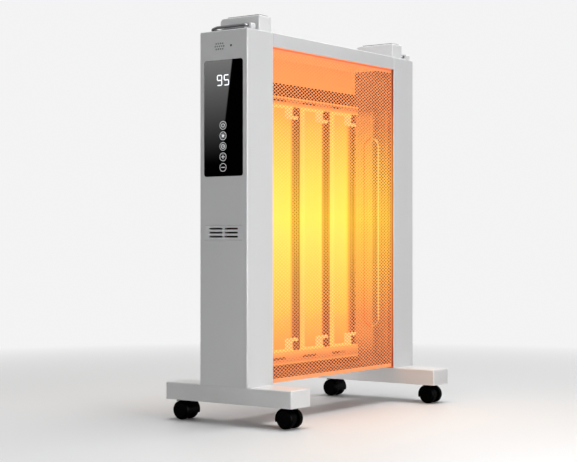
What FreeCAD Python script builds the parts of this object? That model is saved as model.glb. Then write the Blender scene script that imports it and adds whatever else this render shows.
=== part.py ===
import FreeCAD, Part
import math
import os

import Sketcher

# A free-standing panel heater on castors: two box columns on bar feet carry a perforated case
# with three heating boards inside. The left column holds the touch controls.
# The floor is Z = 0 under the middle of the case, the front faces -Y and the controls face -X.

Vector = FreeCAD.Vector

# Driving dimensions, in millimetres and counts.
SIZES = {
    # Case and columns
    "body_width": 535.0,
    "column_width": 72.0,
    "column_depth": 102.0,
    "column_height": 600.0,
    "column_wall": 2.5,
    "column_edge_radius": 2.5,
    "column_lip_radius": 1.0,
    "sheet": 1.2,
    "fit_gap": 0.3,
    "overrun": 1.0,
    # Feet and castors
    "ground_clearance": 36.0,
    "foot_length": 270.0,
    "foot_width": 55.0,
    "foot_height": 30.0,
    "foot_wall": 3.0,
    "foot_edge_radius": 3.0,
    "socket_wall": 4.0,
    "castor_inset": 29.0,
    "castor_trail": 6.0,
    "wheel_diameter": 33.0,
    "wheel_width": 11.5,
    "wheel_shoulder_radius": 5.0,
    "wheel_dish_depth": 0.6,
    "wheel_dish_radius": 8.0,
    "wheel_bore_depth": 8.0,
    "web_thickness": 12.0,
    "web_radius": 13.0,
    "wheel_side_gap": 0.5,
    "hood_gap": 0.7,
    "hood_wall": 1.8,
    "hood_overhang": 7.0,
    "hood_skirt": 5.0,
    "hood_shoulder_radius": 3.5,
    "stem_block": 14.0,
    "stem_diameter": 8.0,
    "stem_grip": 12.0,
    "stem_reach": 22.0,
    "axle_diameter": 5.0,
    "running_gap": 0.05,
    "press_gap": 0.02,
    # Top rail, grilles and tray
    "top_rail_height": 24.0,
    "top_rail_wall": 1.6,
    "top_rail_radius": 1.2,
    "slot_count": 25.0,
    "slot_row_inset": 21.5,
    "slot_width": 3.6,
    "slot_length": 34.0,
    "slot_row_gap": 12.0,
    "grille_recess": 5.0,
    "grille_flange": 8.0,
    "grille_margin": 7.0,
    "grille_lift": 2.0,
    "mesh_pitch_across": 38.0,
    "mesh_pitch_up": 36.0,
    "mesh_strand": 3.0,
    "rear_band": 46.0,
    "emboss_width": 34.0,
    "emboss_length": 359.0,
    "emboss_height": 2.5,
    "emboss_middle": 264.0,
    # Heating boards and their carriers
    "board_width": 68.0,
    "board_height": 430.0,
    "board_thickness": 1.6,
    "board_pitch": 95.5,
    "board_depth_place": 3.5,
    "board_base": 52.0,
    "post_width": 9.0,
    "post_depth": 4.5,
    "post_groove": 6.5,
    "clip_width": 18.0,
    "clip_height": 18.0,
    "clip_depth": 9.0,
    "clip_inset": 8.0,
    "clip_corner_radius": 4.0,
    "clip_toe_length": 17.0,
    "clip_toe_height": 5.5,
    "rail_height": 14.0,
    "lower_rail_height": 22.0,
    "rail_end_reach": 12.0,
    "rail_depth": 15.0,
    "rail_gap": 5.0,
    "rail_slot_length": 44.0,
    "rail_slot_height": 4.0,
    "rail_slot_offset": 20.0,
    "harness_diameter": 6.0,
    "cutout_diameter": 16.0,
    "cutout_height": 8.0,
    "cutout_inset": 30.0,
    # Controls in the left column
    "glass_width": 83.0,
    "glass_height": 196.0,
    "glass_thickness": 1.5,
    "glass_radius": 5.0,
    "glass_middle": 451.7,
    "window_margin": 6.0,
    "board_gap": 7.0,
    "circuit_thickness": 1.6,
    "circuit_boss": 6.0,
    "digit_width": 32.0,
    "digit_height": 26.0,
    "digit_middle": 515.4,
    "key_count": 5.0,
    "key_pitch": 17.7,
    "key_lowest": 368.7,
    "key_diameter": 9.0,
    "vent_width": 80.0,
    "vent_height": 25.0,
    "vent_middle": 258.8,
    "vent_slot_length": 29.5,
    "vent_slot_height": 3.0,
    "vent_slot_pitch": 6.7,
    "vent_slot_gap": 3.2,
    "sound_middle": 573.0,
    "sound_place": 8.2,
    "sound_pitch": 4.6,
    "sound_hole": 1.6,
    "sound_cup_diameter": 24.0,
    "sound_cup_depth": 6.0,
    "receiver_place": 16.3,
    "receiver_diameter": 3.4,
    "receiver_block": 8.0,
    "receiver_depth": 6.0,
    # Power board, switch and cord inlet
    "power_width": 70.0,
    "power_height": 150.0,
    "power_middle": 190.0,
    "spacer_height": 8.0,
    "spacer_diameter": 7.0,
    "spacer_inset": 6.0,
    "relay_width": 18.0,
    "relay_height": 28.0,
    "relay_depth": 16.0,
    "capacitor_diameter": 18.0,
    "capacitor_depth": 25.0,
    "terminal_width": 40.0,
    "terminal_height": 14.0,
    "terminal_depth": 13.0,
    "switch_width": 22.0,
    "switch_depth": 30.0,
    "switch_height": 24.0,
    "gland_diameter": 18.0,
    "gland_bore": 8.0,
    "gland_head": 9.0,
    "gland_neck_diameter": 14.0,
    "gland_neck": 10.0,
    "gland_middle": 36.0,
    # Bosses and screws
    "boss_diameter": 9.0,
    "boss_side_inset": 20.0,
    "boss_end_inset": 12.0,
    "screw_diameter": 4.0,
    "screw_head_diameter": 8.0,
    "screw_head_height": 2.6,
    "screw_grip": 9.0,
    "foot_screw_place": 32.0,
    # Top blocks and folding rack loops
    "block_width": 35.0,
    "block_height": 26.5,
    "block_front": 3.0,
    "block_length": 84.5,
    "block_rear_radius": 8.0,
    "block_edge_radius": 2.5,
    "block_wall": 2.5,
    "pad_height": 1.2,
    "pad_margin": 4.0,
    "pad_corner_radius": 3.0,
    "loop_wire": 5.0,
    "loop_width": 23.0,
    "loop_inset": 17.5,
    "loop_lift": 5.8,
    "loop_pivot": 8.0,
    "loop_reach": 73.0,
    "loop_ramp": 12.0,
    "loop_corner": 5.0,
    "loop_end": 2.0,
    "bracket_width": 12.0,
    "bracket_depth": 14.0,
    "bracket_height": 10.0,
    "bracket_radius": 3.5,
}

doc = FreeCAD.newDocument("panel_heater")
sheet = doc.addObject("Spreadsheet::Sheet", "Size")
for row, (alias, number) in enumerate(SIZES.items(), start=1):
    sheet.set(f"A{row}", alias)
    sheet.set(f"B{row}", str(number))
    sheet.setAlias(f"B{row}", alias)
doc.recompute()


class Dim:
    """A length that keeps the sheet expression it came from beside its number."""

    def __init__(self, text, number):
        self.text = text
        self.number = float(number)

    @staticmethod
    def of(value):
        return value if isinstance(value, Dim) else Dim(repr(value), value)

    def __add__(self, other):
        other = Dim.of(other)
        return Dim(f"({self.text} + {other.text})", self.number + other.number)

    def __sub__(self, other):
        other = Dim.of(other)
        return Dim(f"({self.text} - {other.text})", self.number - other.number)

    def __mul__(self, other):
        other = Dim.of(other)
        return Dim(f"({self.text} * {other.text})", self.number * other.number)

    def __truediv__(self, other):
        other = Dim.of(other)
        return Dim(f"({self.text} / {other.text})", self.number / other.number)

    def __neg__(self):
        return Dim(f"(0 - {self.text})", -self.number)

    def __rmul__(self, other):
        return self * other


class Sheet:
    """Sheet cells by name, each as a Dim."""

    def __getattr__(self, alias):
        return Dim(f"Size.{alias}", sheet.get(alias))


size = Sheet()
ZERO = Dim("0", 0)
LEFT, RIGHT = -1, 1
nodes = []


def keep(item, label):
    """Give a finished sub-part its node name."""
    item.Label = label
    nodes.append(item)
    return item


def bind(item, **dims):
    """Tie properties of an object to the sheet."""
    for name, dim in dims.items():
        item.setExpression(name, Dim.of(dim).text)


def put(item, x, y, z):
    """Tie an object's place to the sheet."""
    for axis, dim in zip("xyz", (x, y, z)):
        item.setExpression(f"Placement.Base.{axis}", Dim.of(dim).text)


# Primitives and booleans

def box(name, x, y, z, length, width, height):
    """A block from its lowest corner and its spans."""
    item = doc.addObject("Part::Box", name)
    bind(item, Length=length, Width=width, Height=height)
    put(item, x, y, z)
    return item


TURNS = {
    "x": FreeCAD.Rotation(Vector(0, 1, 0), 90),
    "y": FreeCAD.Rotation(Vector(1, 0, 0), -90),
    "z": FreeCAD.Rotation(),
}


def rod(name, along, x, y, z, radius, length):
    """A cylinder from the middle of its first end, along +X, +Y or +Z."""
    item = doc.addObject("Part::Cylinder", name)
    item.Placement = FreeCAD.Placement(Vector(), TURNS[along])
    bind(item, Radius=radius, Height=length)
    put(item, x, y, z)
    return item


def join(name, *items):
    """One solid out of several that meet."""
    item = doc.addObject("Part::MultiFuse", name)
    item.Shapes = list(items)
    return item


def cut(name, base, *tools):
    """A shape less its tools."""
    item = doc.addObject("Part::Cut", name)
    item.Base = base
    item.Tool = tools[0] if len(tools) == 1 else join(f"{name}_tools", *tools)
    return item


def common(name, first, second):
    """What two shapes share."""
    item = doc.addObject("Part::Common", name)
    item.Base = first
    item.Tool = second
    return item


def group(name, items):
    """Separate solids that share one node."""
    item = doc.addObject("Part::Compound", name)
    item.Links = list(items)
    return item


def picked(shape, test):
    """Numbers of the edges that pass a test."""
    return [number for number, edge in enumerate(shape.Edges, start=1) if test(edge)]


def rounded(name, base, radius, test):
    """A primitive with the chosen edges rounded."""
    doc.recompute()
    item = doc.addObject("Part::Fillet", name)
    item.Base = base
    item.Edges = [(number, radius.number, radius.number) for number in picked(base.Shape, test)]
    return item


# Edge tests

SLACK = 1e-4


def runs_along(edge, axis):
    """Whether an edge is a straight line along one axis."""
    spans = {"x": edge.BoundBox.XLength, "y": edge.BoundBox.YLength, "z": edge.BoundBox.ZLength}
    long_way = spans.pop(axis)
    return long_way > SLACK and max(spans.values()) < SLACK


def lies_at(edge, axis, place):
    """Whether a whole edge lies at one coordinate."""
    ends = {
        "x": (edge.BoundBox.XMin, edge.BoundBox.XMax),
        "y": (edge.BoundBox.YMin, edge.BoundBox.YMax),
        "z": (edge.BoundBox.ZMin, edge.BoundBox.ZMax),
    }[axis]
    return all(abs(end - place.number) < SLACK for end in ends)


# Bodies and sketches

def new_body(name):
    """An empty body."""
    return doc.addObject("PartDesign::Body", name)


def sketch_on(body, plane, name, offset):
    """A sketch on one of the body's own planes, moved along that plane's normal."""
    sketch = body.newObject("Sketcher::SketchObject", name)
    origin_plane = next(item for item in body.Origin.OriginFeatures if item.Role == f"{plane}_Plane")
    sketch.AttachmentSupport = [(origin_plane, "")]
    sketch.MapMode = "FlatFace"
    sketch.setExpression("AttachmentOffset.Base.z", Dim.of(offset).text)
    return sketch


def drive(sketch, kind, places, dim):
    """A dimension of a sketch tied to the sheet."""
    index = sketch.addConstraint(Sketcher.Constraint(kind, *places, dim.number))
    sketch.renameConstraint(index, f"size_{index}")
    sketch.setExpression(f"Constraints.size_{index}", dim.text)


ORIGIN = (-1, 1)


def rectangle(sketch, left, bottom, width, height):
    """A rectangle from its lower left corner."""
    first = sketch.GeometryCount
    low = Vector(left.number, bottom.number, 0)
    high = Vector((left + width).number, (bottom + height).number, 0)
    corners = [low, Vector(high.x, low.y, 0), high, Vector(low.x, high.y, 0)]
    for side in range(4):
        sketch.addGeometry(Part.LineSegment(corners[side], corners[(side + 1) % 4]), False)
    for side in range(4):
        sketch.addConstraint(Sketcher.Constraint("Coincident", first + side, 2, first + (side + 1) % 4, 1))
        sketch.addConstraint(Sketcher.Constraint(("Horizontal", "Vertical")[side % 2], first + side))
    drive(sketch, "DistanceX", (*ORIGIN, first, 1), left)
    drive(sketch, "DistanceY", (*ORIGIN, first, 1), bottom)
    drive(sketch, "DistanceX", (first, 1, first, 2), width)
    drive(sketch, "DistanceY", (first + 1, 1, first + 1, 2), height)


def circle(sketch, across, up, radius):
    """A circle about its middle."""
    middle = Vector(across.number, up.number, 0)
    index = sketch.addGeometry(Part.Circle(middle, Vector(0, 0, 1), radius.number), False)
    drive(sketch, "DistanceX", (*ORIGIN, index, 3), across)
    drive(sketch, "DistanceY", (*ORIGIN, index, 3), up)
    drive(sketch, "Radius", (index,), radius)


def slot(sketch, across, up, length, width, upright=False):
    """A straight slot with round ends about its middle."""
    first = sketch.GeometryCount
    radius = width / 2
    reach = length / 2 - radius
    way = Vector(0, 1, 0) if upright else Vector(1, 0, 0)
    side = Vector(-way.y, way.x, 0) * radius.number
    middle = Vector(across.number, up.number, 0)
    near = middle - way * reach.number
    far = middle + way * reach.number
    turn = math.atan2(way.y, way.x)
    normal = Vector(0, 0, 1)
    quarter = math.pi / 2
    sketch.addGeometry(Part.LineSegment(near + side, far + side), False)
    end = Part.Circle(far, normal, radius.number)
    sketch.addGeometry(Part.ArcOfCircle(end, turn - quarter, turn + quarter), False)
    sketch.addGeometry(Part.LineSegment(far - side, near - side), False)
    start = Part.Circle(near, normal, radius.number)
    sketch.addGeometry(Part.ArcOfCircle(start, turn + quarter, turn + 3 * quarter), False)
    line, cap, back, tail = range(first, first + 4)
    joints = (((line, 2), (cap, 2)), ((cap, 1), (back, 1)), ((back, 2), (tail, 2)), ((tail, 1), (line, 1)))
    for one, other in joints:
        sketch.addConstraint(Sketcher.Constraint("Tangent", *one, *other))
    sketch.addConstraint(Sketcher.Constraint("Vertical" if upright else "Horizontal", line))
    drive(sketch, "Radius", (cap,), radius)
    drive(sketch, "DistanceX", (*ORIGIN, tail, 3), across if upright else across - reach)
    drive(sketch, "DistanceY", (*ORIGIN, tail, 3), up - reach if upright else up)
    drive(sketch, "DistanceY" if upright else "DistanceX", (tail, 3, cap, 3), reach * 2)


def pad(body, sketch, length, back=False):
    """Raise a sketch along its normal, or back along it."""
    item = body.newObject("PartDesign::Pad", f"{sketch.Name}_pad")
    item.Profile = sketch
    item.Reversed = back
    bind(item, Length=length)
    sketch.Visibility = False
    doc.recompute()
    return item


def pocket(body, sketch, depth, forward=False):
    """Sink a sketch against its normal, or along it, and see that it cuts."""
    before = body.Shape.Volume
    item = body.newObject("PartDesign::Pocket", f"{sketch.Name}_pocket")
    item.Profile = sketch
    item.Reversed = forward
    bind(item, Length=depth)
    doc.recompute()
    if body.Shape.Volume >= before:
        raise RuntimeError(f"{item.Name} cuts nothing")
    return item


def fillet(body, radius, test):
    """Round the chosen edges of a body."""
    base = body.Tip
    item = body.newObject("PartDesign::Fillet", f"{base.Name}_fillet")
    item.Base = (base, [f"Edge{number}" for number in picked(base.Shape, test)])
    bind(item, Radius=radius)
    doc.recompute()
    return item


def row_of(body, feature, sketch, axis, length, count):
    """Repeat a feature in a straight row."""
    item = body.newObject("PartDesign::LinearPattern", f"{feature.Name}_row")
    item.Originals = [feature]
    item.Direction = (sketch, [axis])
    bind(item, Length=length, Occurrences=count)
    body.Tip = item
    doc.recompute()
    return item


# Levels and places that several pieces share

half = size.body_width / 2
inner_x = half - size.column_width
back_y = size.column_depth / 2
front_y = -back_y
base_z = size.ground_clearance + size.foot_height
top_z = base_z + size.column_height
rail_z = top_z - size.top_rail_height
foot_x = half - size.column_width / 2
grille_y = back_y - size.grille_recess
slot_row = (inner_x - size.slot_row_inset) * 2
wall_in = half - size.column_wall
plate_x = inner_x + size.sheet
circuit_x = wall_in - size.board_gap
gland_z = base_z + size.gland_middle
gland_x = -foot_x
screw_radius = size.screw_diameter / 2
screw_hole = screw_radius + size.fit_gap
boss_y = back_y - size.boss_side_inset
boss_levels = (base_z + size.boss_end_inset, rail_z - size.boss_end_inset)
boss_reach = wall_in - plate_x
screw_sides = (-size.foot_screw_place, size.foot_screw_place)


def mirrored(side, low, width):
    """First coordinate of a span that runs outward from low on one side."""
    return -(low + width) if side == LEFT else low


# Columns

def column(side, name):
    """A box column open to the case, with bosses for its end plate."""
    body = new_body(name)
    outline = sketch_on(body, "XY", f"{name}_outline", base_z)
    rectangle(outline, mirrored(side, inner_x, size.column_width), front_y,
              size.column_width, size.column_depth)
    pad(body, outline, size.column_height)
    outer = half * side
    inner = inner_x * side
    fillet(body, size.column_edge_radius, lambda edge: lies_at(edge, "x", outer)
           and not lies_at(edge, "z", base_z)
           or runs_along(edge, "x") and lies_at(edge, "z", top_z))
    fillet(body, size.column_lip_radius,
           lambda edge: lies_at(edge, "x", inner) and not lies_at(edge, "z", base_z))
    hollow = sketch_on(body, "YZ", f"{name}_hollow", inner)
    wall = size.column_wall
    rectangle(hollow, front_y + wall, base_z + wall,
              size.column_depth - wall * 2, size.column_height - wall * 2)
    pocket(body, hollow, size.column_width - wall, forward=side == RIGHT)
    bosses = sketch_on(body, "YZ", f"{name}_bosses", wall_in * side)
    for level in boss_levels:
        for across in (-boss_y, boss_y):
            circle(bosses, across, level, size.boss_diameter / 2)
    pad(body, bosses, boss_reach, back=side == RIGHT)
    taps = sketch_on(body, "YZ", f"{name}_taps", plate_x * side)
    for level in boss_levels:
        for across in (-boss_y, boss_y):
            circle(taps, across, level, screw_radius + size.press_gap)
    pocket(body, taps, size.screw_grip + size.overrun, forward=side == RIGHT)
    holes = sketch_on(body, "XY", f"{name}_screw_holes", base_z)
    for across in screw_sides:
        circle(holes, foot_x * side, across, screw_radius + size.press_gap)
    pocket(body, holes, wall + size.overrun, forward=True)
    return body


glass_z = base_z + size.glass_middle
window_width = size.glass_width - size.window_margin * 2
window_height = size.glass_height - size.window_margin * 2
circuit_width = size.glass_width
circuit_height = size.glass_height
circuit_across = circuit_width / 2 - size.circuit_boss / 2
circuit_up = window_height / 2 + size.circuit_boss / 2
circuit_sides = (-circuit_across, circuit_across)
circuit_levels = (glass_z - circuit_up, glass_z + circuit_up)
vent_z = base_z + size.vent_middle
sound_z = base_z + size.sound_middle
sound_rows = ((LEFT, 4), (0, 5), (RIGHT, 4))


def control_openings(body):
    """Glass seat, display window, vent, sound holes, receiver hole and cord hole of the control column."""
    face = -half
    seat = sketch_on(body, "YZ", "glass_seat", face)
    seat_width = size.glass_width + size.fit_gap * 2
    seat_height = size.glass_height + size.fit_gap * 2
    rectangle(seat, -(seat_width / 2), glass_z - seat_height / 2, seat_width, seat_height)
    pocket(body, seat, size.glass_thickness, forward=True)
    seat_floor = size.glass_thickness - half
    corner_sides = [seat_width / 2 * sign for sign in (-1, 1)]
    middle = (face + seat_floor) / 2
    fillet(body, size.glass_radius, lambda edge: runs_along(edge, "x")
           and abs(edge.BoundBox.Center.x - middle.number) < SLACK
           and any(lies_at(edge, "y", across) for across in corner_sides))
    window = sketch_on(body, "YZ", "display_window", seat_floor)
    rectangle(window, -(window_width / 2), glass_z - window_height / 2, window_width, window_height)
    pocket(body, window, size.column_wall, forward=True)
    vent = sketch_on(body, "YZ", "vent_opening", face)
    rectangle(vent, -(size.vent_width / 2), vent_z - size.vent_height / 2, size.vent_width, size.vent_height)
    pocket(body, vent, size.column_wall + size.overrun, forward=True)
    sound = sketch_on(body, "YZ", "sound_holes", face)
    for level, count in sound_rows:
        for place in range(count):
            across = size.sound_place + size.sound_pitch * (place - (count - 1) / 2)
            circle(sound, across, sound_z + size.sound_pitch * level, size.sound_hole / 2)
    circle(sound, -size.receiver_place, sound_z, size.receiver_diameter / 2 + size.fit_gap)
    pocket(body, sound, size.column_wall + size.overrun, forward=True)
    bosses = sketch_on(body, "YZ", "circuit_bosses", -wall_in)
    for across in circuit_sides:
        for level in circuit_levels:
            circle(bosses, across, level, size.circuit_boss / 2)
    pad(body, bosses, size.board_gap)
    cord = sketch_on(body, "XZ", "cord_hole", -back_y)
    circle(cord, gland_x, gland_z, size.gland_neck_diameter / 2 + size.fit_gap)
    pocket(body, cord, size.column_wall + size.overrun, forward=True)


left_column = column(LEFT, "left_column_shell")
control_openings(left_column)
keep(left_column, "left_column_shell")
keep(column(RIGHT, "right_column_shell"), "right_column_shell")

# End plates that close the columns towards the case

board_y = size.board_depth_place
board_z = base_z + size.board_base
board_top = board_z + size.board_height
lower_rail_top = board_z - size.rail_gap
upper_rail_z = board_top + size.rail_gap
rail_y = board_y - size.rail_depth / 2
harness_y = rail_y + size.rail_depth / 2
harness_z = upper_rail_z + size.sheet + size.harness_diameter / 2


def end_plate(side, name):
    """A sheet screwed to the column's bosses, with a raised stadium towards the boards."""
    body = new_body(name)
    outline = sketch_on(body, "YZ", f"{name}_outline", inner_x * side)
    inset = size.column_wall + size.fit_gap
    rectangle(outline, front_y + inset, base_z + inset,
              size.column_depth - inset * 2, size.column_height - inset * 2)
    pad(body, outline, size.sheet, back=side == LEFT)
    raised = sketch_on(body, "YZ", f"{name}_emboss", inner_x * side)
    slot(raised, ZERO, base_z + size.emboss_middle, size.emboss_length, size.emboss_width, upright=True)
    pad(body, raised, size.emboss_height, back=side == RIGHT)
    crown = (inner_x - size.emboss_height) * side
    fillet(body, size.emboss_height * emboss_round_share, lambda edge: lies_at(edge, "x", crown))
    holes = sketch_on(body, "YZ", f"{name}_holes", inner_x * side)
    for level in boss_levels:
        for across in (-boss_y, boss_y):
            circle(holes, across, level, screw_hole)
    if side == LEFT:
        circle(holes, harness_y, harness_z, size.harness_diameter / 2 + size.fit_gap)
    pocket(body, holes, size.sheet + size.overrun, forward=side == RIGHT)
    return body


emboss_round_share = 0.6
keep(end_plate(LEFT, "left_end_plate"), "left_end_plate")
keep(end_plate(RIGHT, "right_end_plate"), "right_end_plate")


def end_plate_screws():
    """Pan screws from the case side into the column bosses."""
    screws = []
    for side in (LEFT, RIGHT):
        for level in boss_levels:
            for across in (-boss_y, boss_y):
                name = f"plate_screw_{len(screws)}"
                head_x = mirrored(side, inner_x - size.screw_head_height, size.screw_head_height)
                head = rod(f"{name}_head", "x", head_x, across, level,
                           size.screw_head_diameter / 2, size.screw_head_height)
                grip = size.sheet + size.screw_grip
                shank_x = mirrored(side, inner_x, grip)
                shank = rod(f"{name}_shank", "x", shank_x, across, level, screw_radius, grip)
                screws.append(join(name, head, shank))
    return group("plate_screw_group", screws)


keep(end_plate_screws(), "end_plate_screws")

# Top rail with its air outlet slots

def top_rail():
    """A hollow bar between the columns with two rows of slots in its top."""
    body = new_body("top_rail_body")
    outline = sketch_on(body, "XY", "top_rail_outline", rail_z)
    rectangle(outline, -inner_x, front_y, inner_x * 2, size.column_depth)
    pad(body, outline, size.top_rail_height)
    fillet(body, size.top_rail_radius, lambda edge: runs_along(edge, "x") and lies_at(edge, "z", top_z))
    wall = size.top_rail_wall
    hollow = sketch_on(body, "XY", "top_rail_hollow", rail_z)
    rectangle(hollow, wall - inner_x, front_y + wall, inner_x * 2 - wall * 2, size.column_depth - wall * 2)
    pocket(body, hollow, size.top_rail_height - wall, forward=True)
    slots = sketch_on(body, "XY", "outlet_slots", top_z)
    row_y = size.slot_row_gap / 2 + size.slot_length / 2
    for across in (-row_y, row_y):
        slot(slots, -(slot_row / 2), across, size.slot_length, size.slot_width, upright=True)
    outlet = pocket(body, slots, wall + size.overrun)
    row_of(body, outlet, slots, "H_Axis", slot_row, size.slot_count)
    return body


keep(top_rail(), "top_rail")

# Perforated front and rear grilles

def holed_sheet(name, width, low, high, field_low, field_high, place_y):
    """A sheet of diamond openings in staggered rows, raised from one holed face."""
    margin = size.grille_margin
    field_width = (width - margin * 2).number
    field_height = (field_high - field_low).number
    pitch_x = size.mesh_pitch_across.number
    pitch_z = size.mesh_pitch_up.number
    columns = int(field_width // pitch_x)
    rows = int(field_height // pitch_z)
    pitch_x = field_width / columns
    pitch_z = field_height / rows
    slant = math.hypot(pitch_x, pitch_z)
    strand = size.mesh_strand.number * slant / 2
    half_x = pitch_x / 2 - strand / pitch_z
    half_z = pitch_z / 2 - strand / pitch_x
    plane_y = place_y.number
    left = -field_width / 2

    def loop(points):
        return Part.makePolygon([Vector(x, plane_y, z) for x, z in points + points[:1]])

    edge = width.number / 2
    wires = [loop([(-edge, low.number), (edge, low.number), (edge, high.number), (-edge, high.number)])]
    for shift in (0, 1):
        for column_index in range(columns - shift):
            for row_index in range(rows - shift):
                x = left + pitch_x * (column_index + (1 + shift) / 2)
                z = field_low.number + pitch_z * (row_index + (1 + shift) / 2)
                wires.append(loop([(x - half_x, z), (x, z + half_z), (x + half_x, z), (x, z - half_z)]))
    face = doc.addObject("Part::Feature", f"{name}_face")
    face.Shape = Part.Face(wires)
    raised = doc.addObject("Part::Extrusion", f"{name}_sheet")
    raised.Base = face
    raised.DirMode = "Custom"
    raised.Dir = Vector(0, 1, 0)
    raised.Solid = True
    bind(raised, LengthFwd=size.sheet)
    return raised


grille_z = base_z + size.grille_lift
grille_top = rail_z - size.fit_gap
grille_width = (inner_x - size.fit_gap) * 2


def grille(name, side, top_margin):
    """A perforated sheet with a folded rim that points into the case."""
    outer_y = grille_y * side
    sheet_y = outer_y if side == LEFT else outer_y - size.sheet
    mesh = holed_sheet(name, grille_width, grille_z, grille_top,
                       grille_z + size.grille_margin, grille_top - top_margin, sheet_y)
    rim_y = outer_y if side == LEFT else outer_y - size.grille_flange
    height = grille_top - grille_z
    rim = box(f"{name}_rim", -(grille_width / 2), rim_y, grille_z, grille_width, size.grille_flange, height)
    inside = box(f"{name}_inside", size.sheet - grille_width / 2, rim_y - size.overrun, grille_z + size.sheet,
                 grille_width - size.sheet * 2, size.grille_flange + size.overrun * 2,
                 height - size.sheet * 2)
    return join(name, mesh, cut(f"{name}_frame", rim, inside))


keep(grille("front_mesh", LEFT, size.grille_margin), "front_grille")
keep(grille("rear_mesh", RIGHT, size.rear_band), "rear_grille")


def bottom_tray():
    """A slotted tray that lies on the folded rims of the two grilles."""
    body = new_body("bottom_tray_body")
    floor = sketch_on(body, "XY", "tray_floor", grille_z + size.sheet)
    reach = grille_y - size.sheet - size.fit_gap
    width = grille_width - size.sheet * 2 - size.fit_gap * 2
    rectangle(floor, -(width / 2), -reach, width, reach * 2)
    pad(body, floor, size.sheet)
    slots = sketch_on(body, "XY", "inlet_slots", grille_z + size.sheet * 2)
    row_y = size.slot_row_gap / 2 + size.slot_length / 2
    for across in (-row_y, row_y):
        slot(slots, -(slot_row / 2), across, size.slot_length, size.slot_width, upright=True)
    inlet = pocket(body, slots, size.sheet + size.overrun)
    row_of(body, inlet, slots, "H_Axis", slot_row, size.slot_count)
    return body


keep(bottom_tray(), "bottom_tray")

# Heating boards, the posts and ceramic clips that hold them, and the carrier rails

board_names = ("left", "middle", "right")
board_places = [size.board_pitch * step for step in (-1, 0, 1)]
post_z = lower_rail_top
post_height = upper_rail_z - lower_rail_top
board_half = size.board_width / 2
rail_end = board_places[-1] + board_half + size.rail_end_reach
rail_back = grille_y - size.sheet - size.fit_gap


def heating_board(name, middle):
    """A mica board that stands in its post and its two clips."""
    body = new_body(f"heating_board_{name}_body")
    outline = sketch_on(body, "XZ", f"board_{name}_outline", -(board_y - size.board_thickness / 2))
    rectangle(outline, middle - size.board_width / 2, board_z, size.board_width, size.board_height)
    pad(body, outline, size.board_thickness, back=True)
    return body


def board_post(index, middle):
    """An upright bar between the rails, grooved for the board's left edge, with a cap at each end."""
    left = middle - board_half - size.post_width + size.post_groove - size.fit_gap
    front = board_y - size.post_depth / 2
    bar = box(f"post_bar_{index}", left, front, post_z, size.post_width, size.post_depth, post_height)
    room = size.board_thickness + size.fit_gap
    groove = box(f"post_groove_{index}", left + size.post_width - size.post_groove, board_y - room / 2,
                 post_z - size.overrun, size.post_groove + size.overrun, room, post_height + size.overrun * 2)
    caps = [
        box(f"post_cap_{index}_{number}", left, front, level,
            size.board_width, size.post_depth, size.rail_gap)
        for number, level in enumerate((lower_rail_top, board_top))
    ]
    return join(f"board_post_{index}", cut(f"post_channel_{index}", bar, groove), *caps)


def ceramic_clip(index, middle, upper):
    """A ceramic jaw over the board's right edge, seated on a cap, with a toe past that edge."""
    edge = middle + board_half
    left = edge - size.clip_inset - size.clip_width
    front = board_y - size.clip_depth / 2
    low = board_top - size.clip_height if upper else board_z
    block = box(f"clip_block_{index}", left, front, low, size.clip_width, size.clip_depth, size.clip_height)
    free_end = low if upper else low + size.clip_height
    jaw = rounded(f"clip_jaw_{index}", block, size.clip_corner_radius, lambda line: runs_along(line, "y")
                  and lies_at(line, "x", left) and lies_at(line, "z", free_end))
    toe_z = low if upper else free_end - size.clip_toe_height
    toe = box(f"clip_toe_{index}", edge - size.clip_inset, front, toe_z,
              size.clip_toe_length, size.clip_depth, size.clip_toe_height)
    room = size.board_thickness + size.fit_gap
    groove = box(f"clip_groove_{index}", left - size.overrun, board_y - room / 2, low - size.overrun,
                 size.clip_width + size.clip_inset + size.fit_gap + size.overrun, room,
                 size.clip_height + size.overrun * 2)
    return cut(f"ceramic_clip_{index}", join(f"clip_body_{index}", jaw, toe), groove)


def carrier_rail(name, low, height):
    """A slotted channel from the left end plate, open to the rear, with a tab back to the rear grille."""
    length = inner_x + rail_end
    block = box(f"{name}_block", -inner_x, rail_y, low, length, size.rail_depth, height)
    room = box(f"{name}_room", -inner_x - size.overrun, rail_y + size.sheet, low + size.sheet,
               length + size.overrun * 2, size.rail_depth, height - size.sheet * 2)
    openings = [
        box(f"{name}_slot_{index}", middle - size.rail_slot_offset - size.rail_slot_length / 2,
            rail_y - size.overrun, low + height / 2 - size.rail_slot_height / 2,
            size.rail_slot_length, size.sheet + size.overrun * 2, size.rail_slot_height)
        for index, middle in enumerate(board_places)
    ]
    tab = box(f"{name}_tab", rail_end - size.sheet, rail_y, low, size.sheet, rail_back - rail_y, height)
    return join(name, cut(f"{name}_channel", block, room, *openings), tab)


for board_name, board_place in zip(board_names, board_places):
    keep(heating_board(board_name, board_place), f"heating_board_{board_name}")
posts = [board_post(index, place) for index, place in enumerate(board_places)]
keep(group("post_group", posts), "board_posts")
clips = [
    ceramic_clip(f"{index}_{level}", place, upper)
    for index, place in enumerate(board_places)
    for level, upper in (("low", False), ("high", True))
]
keep(group("clip_group", clips), "ceramic_clips")
keep(carrier_rail("upper_channel", upper_rail_z, size.rail_height), "upper_rail")
lower_rail_z = lower_rail_top - size.lower_rail_height
keep(carrier_rail("lower_channel", lower_rail_z, size.lower_rail_height), "lower_rail")
harness_length = inner_x + size.sheet + size.column_width / 4 + board_places[-1]
keep(rod("harness", "x", -(inner_x + size.sheet + size.column_width / 4), harness_y, harness_z,
         size.harness_diameter / 2, harness_length), "element_harness")
keep(rod("cutout_can", "z", rail_end - size.cutout_inset, board_y, upper_rail_z + size.rail_height,
         size.cutout_diameter / 2, size.cutout_height), "thermal_cutout")

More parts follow.
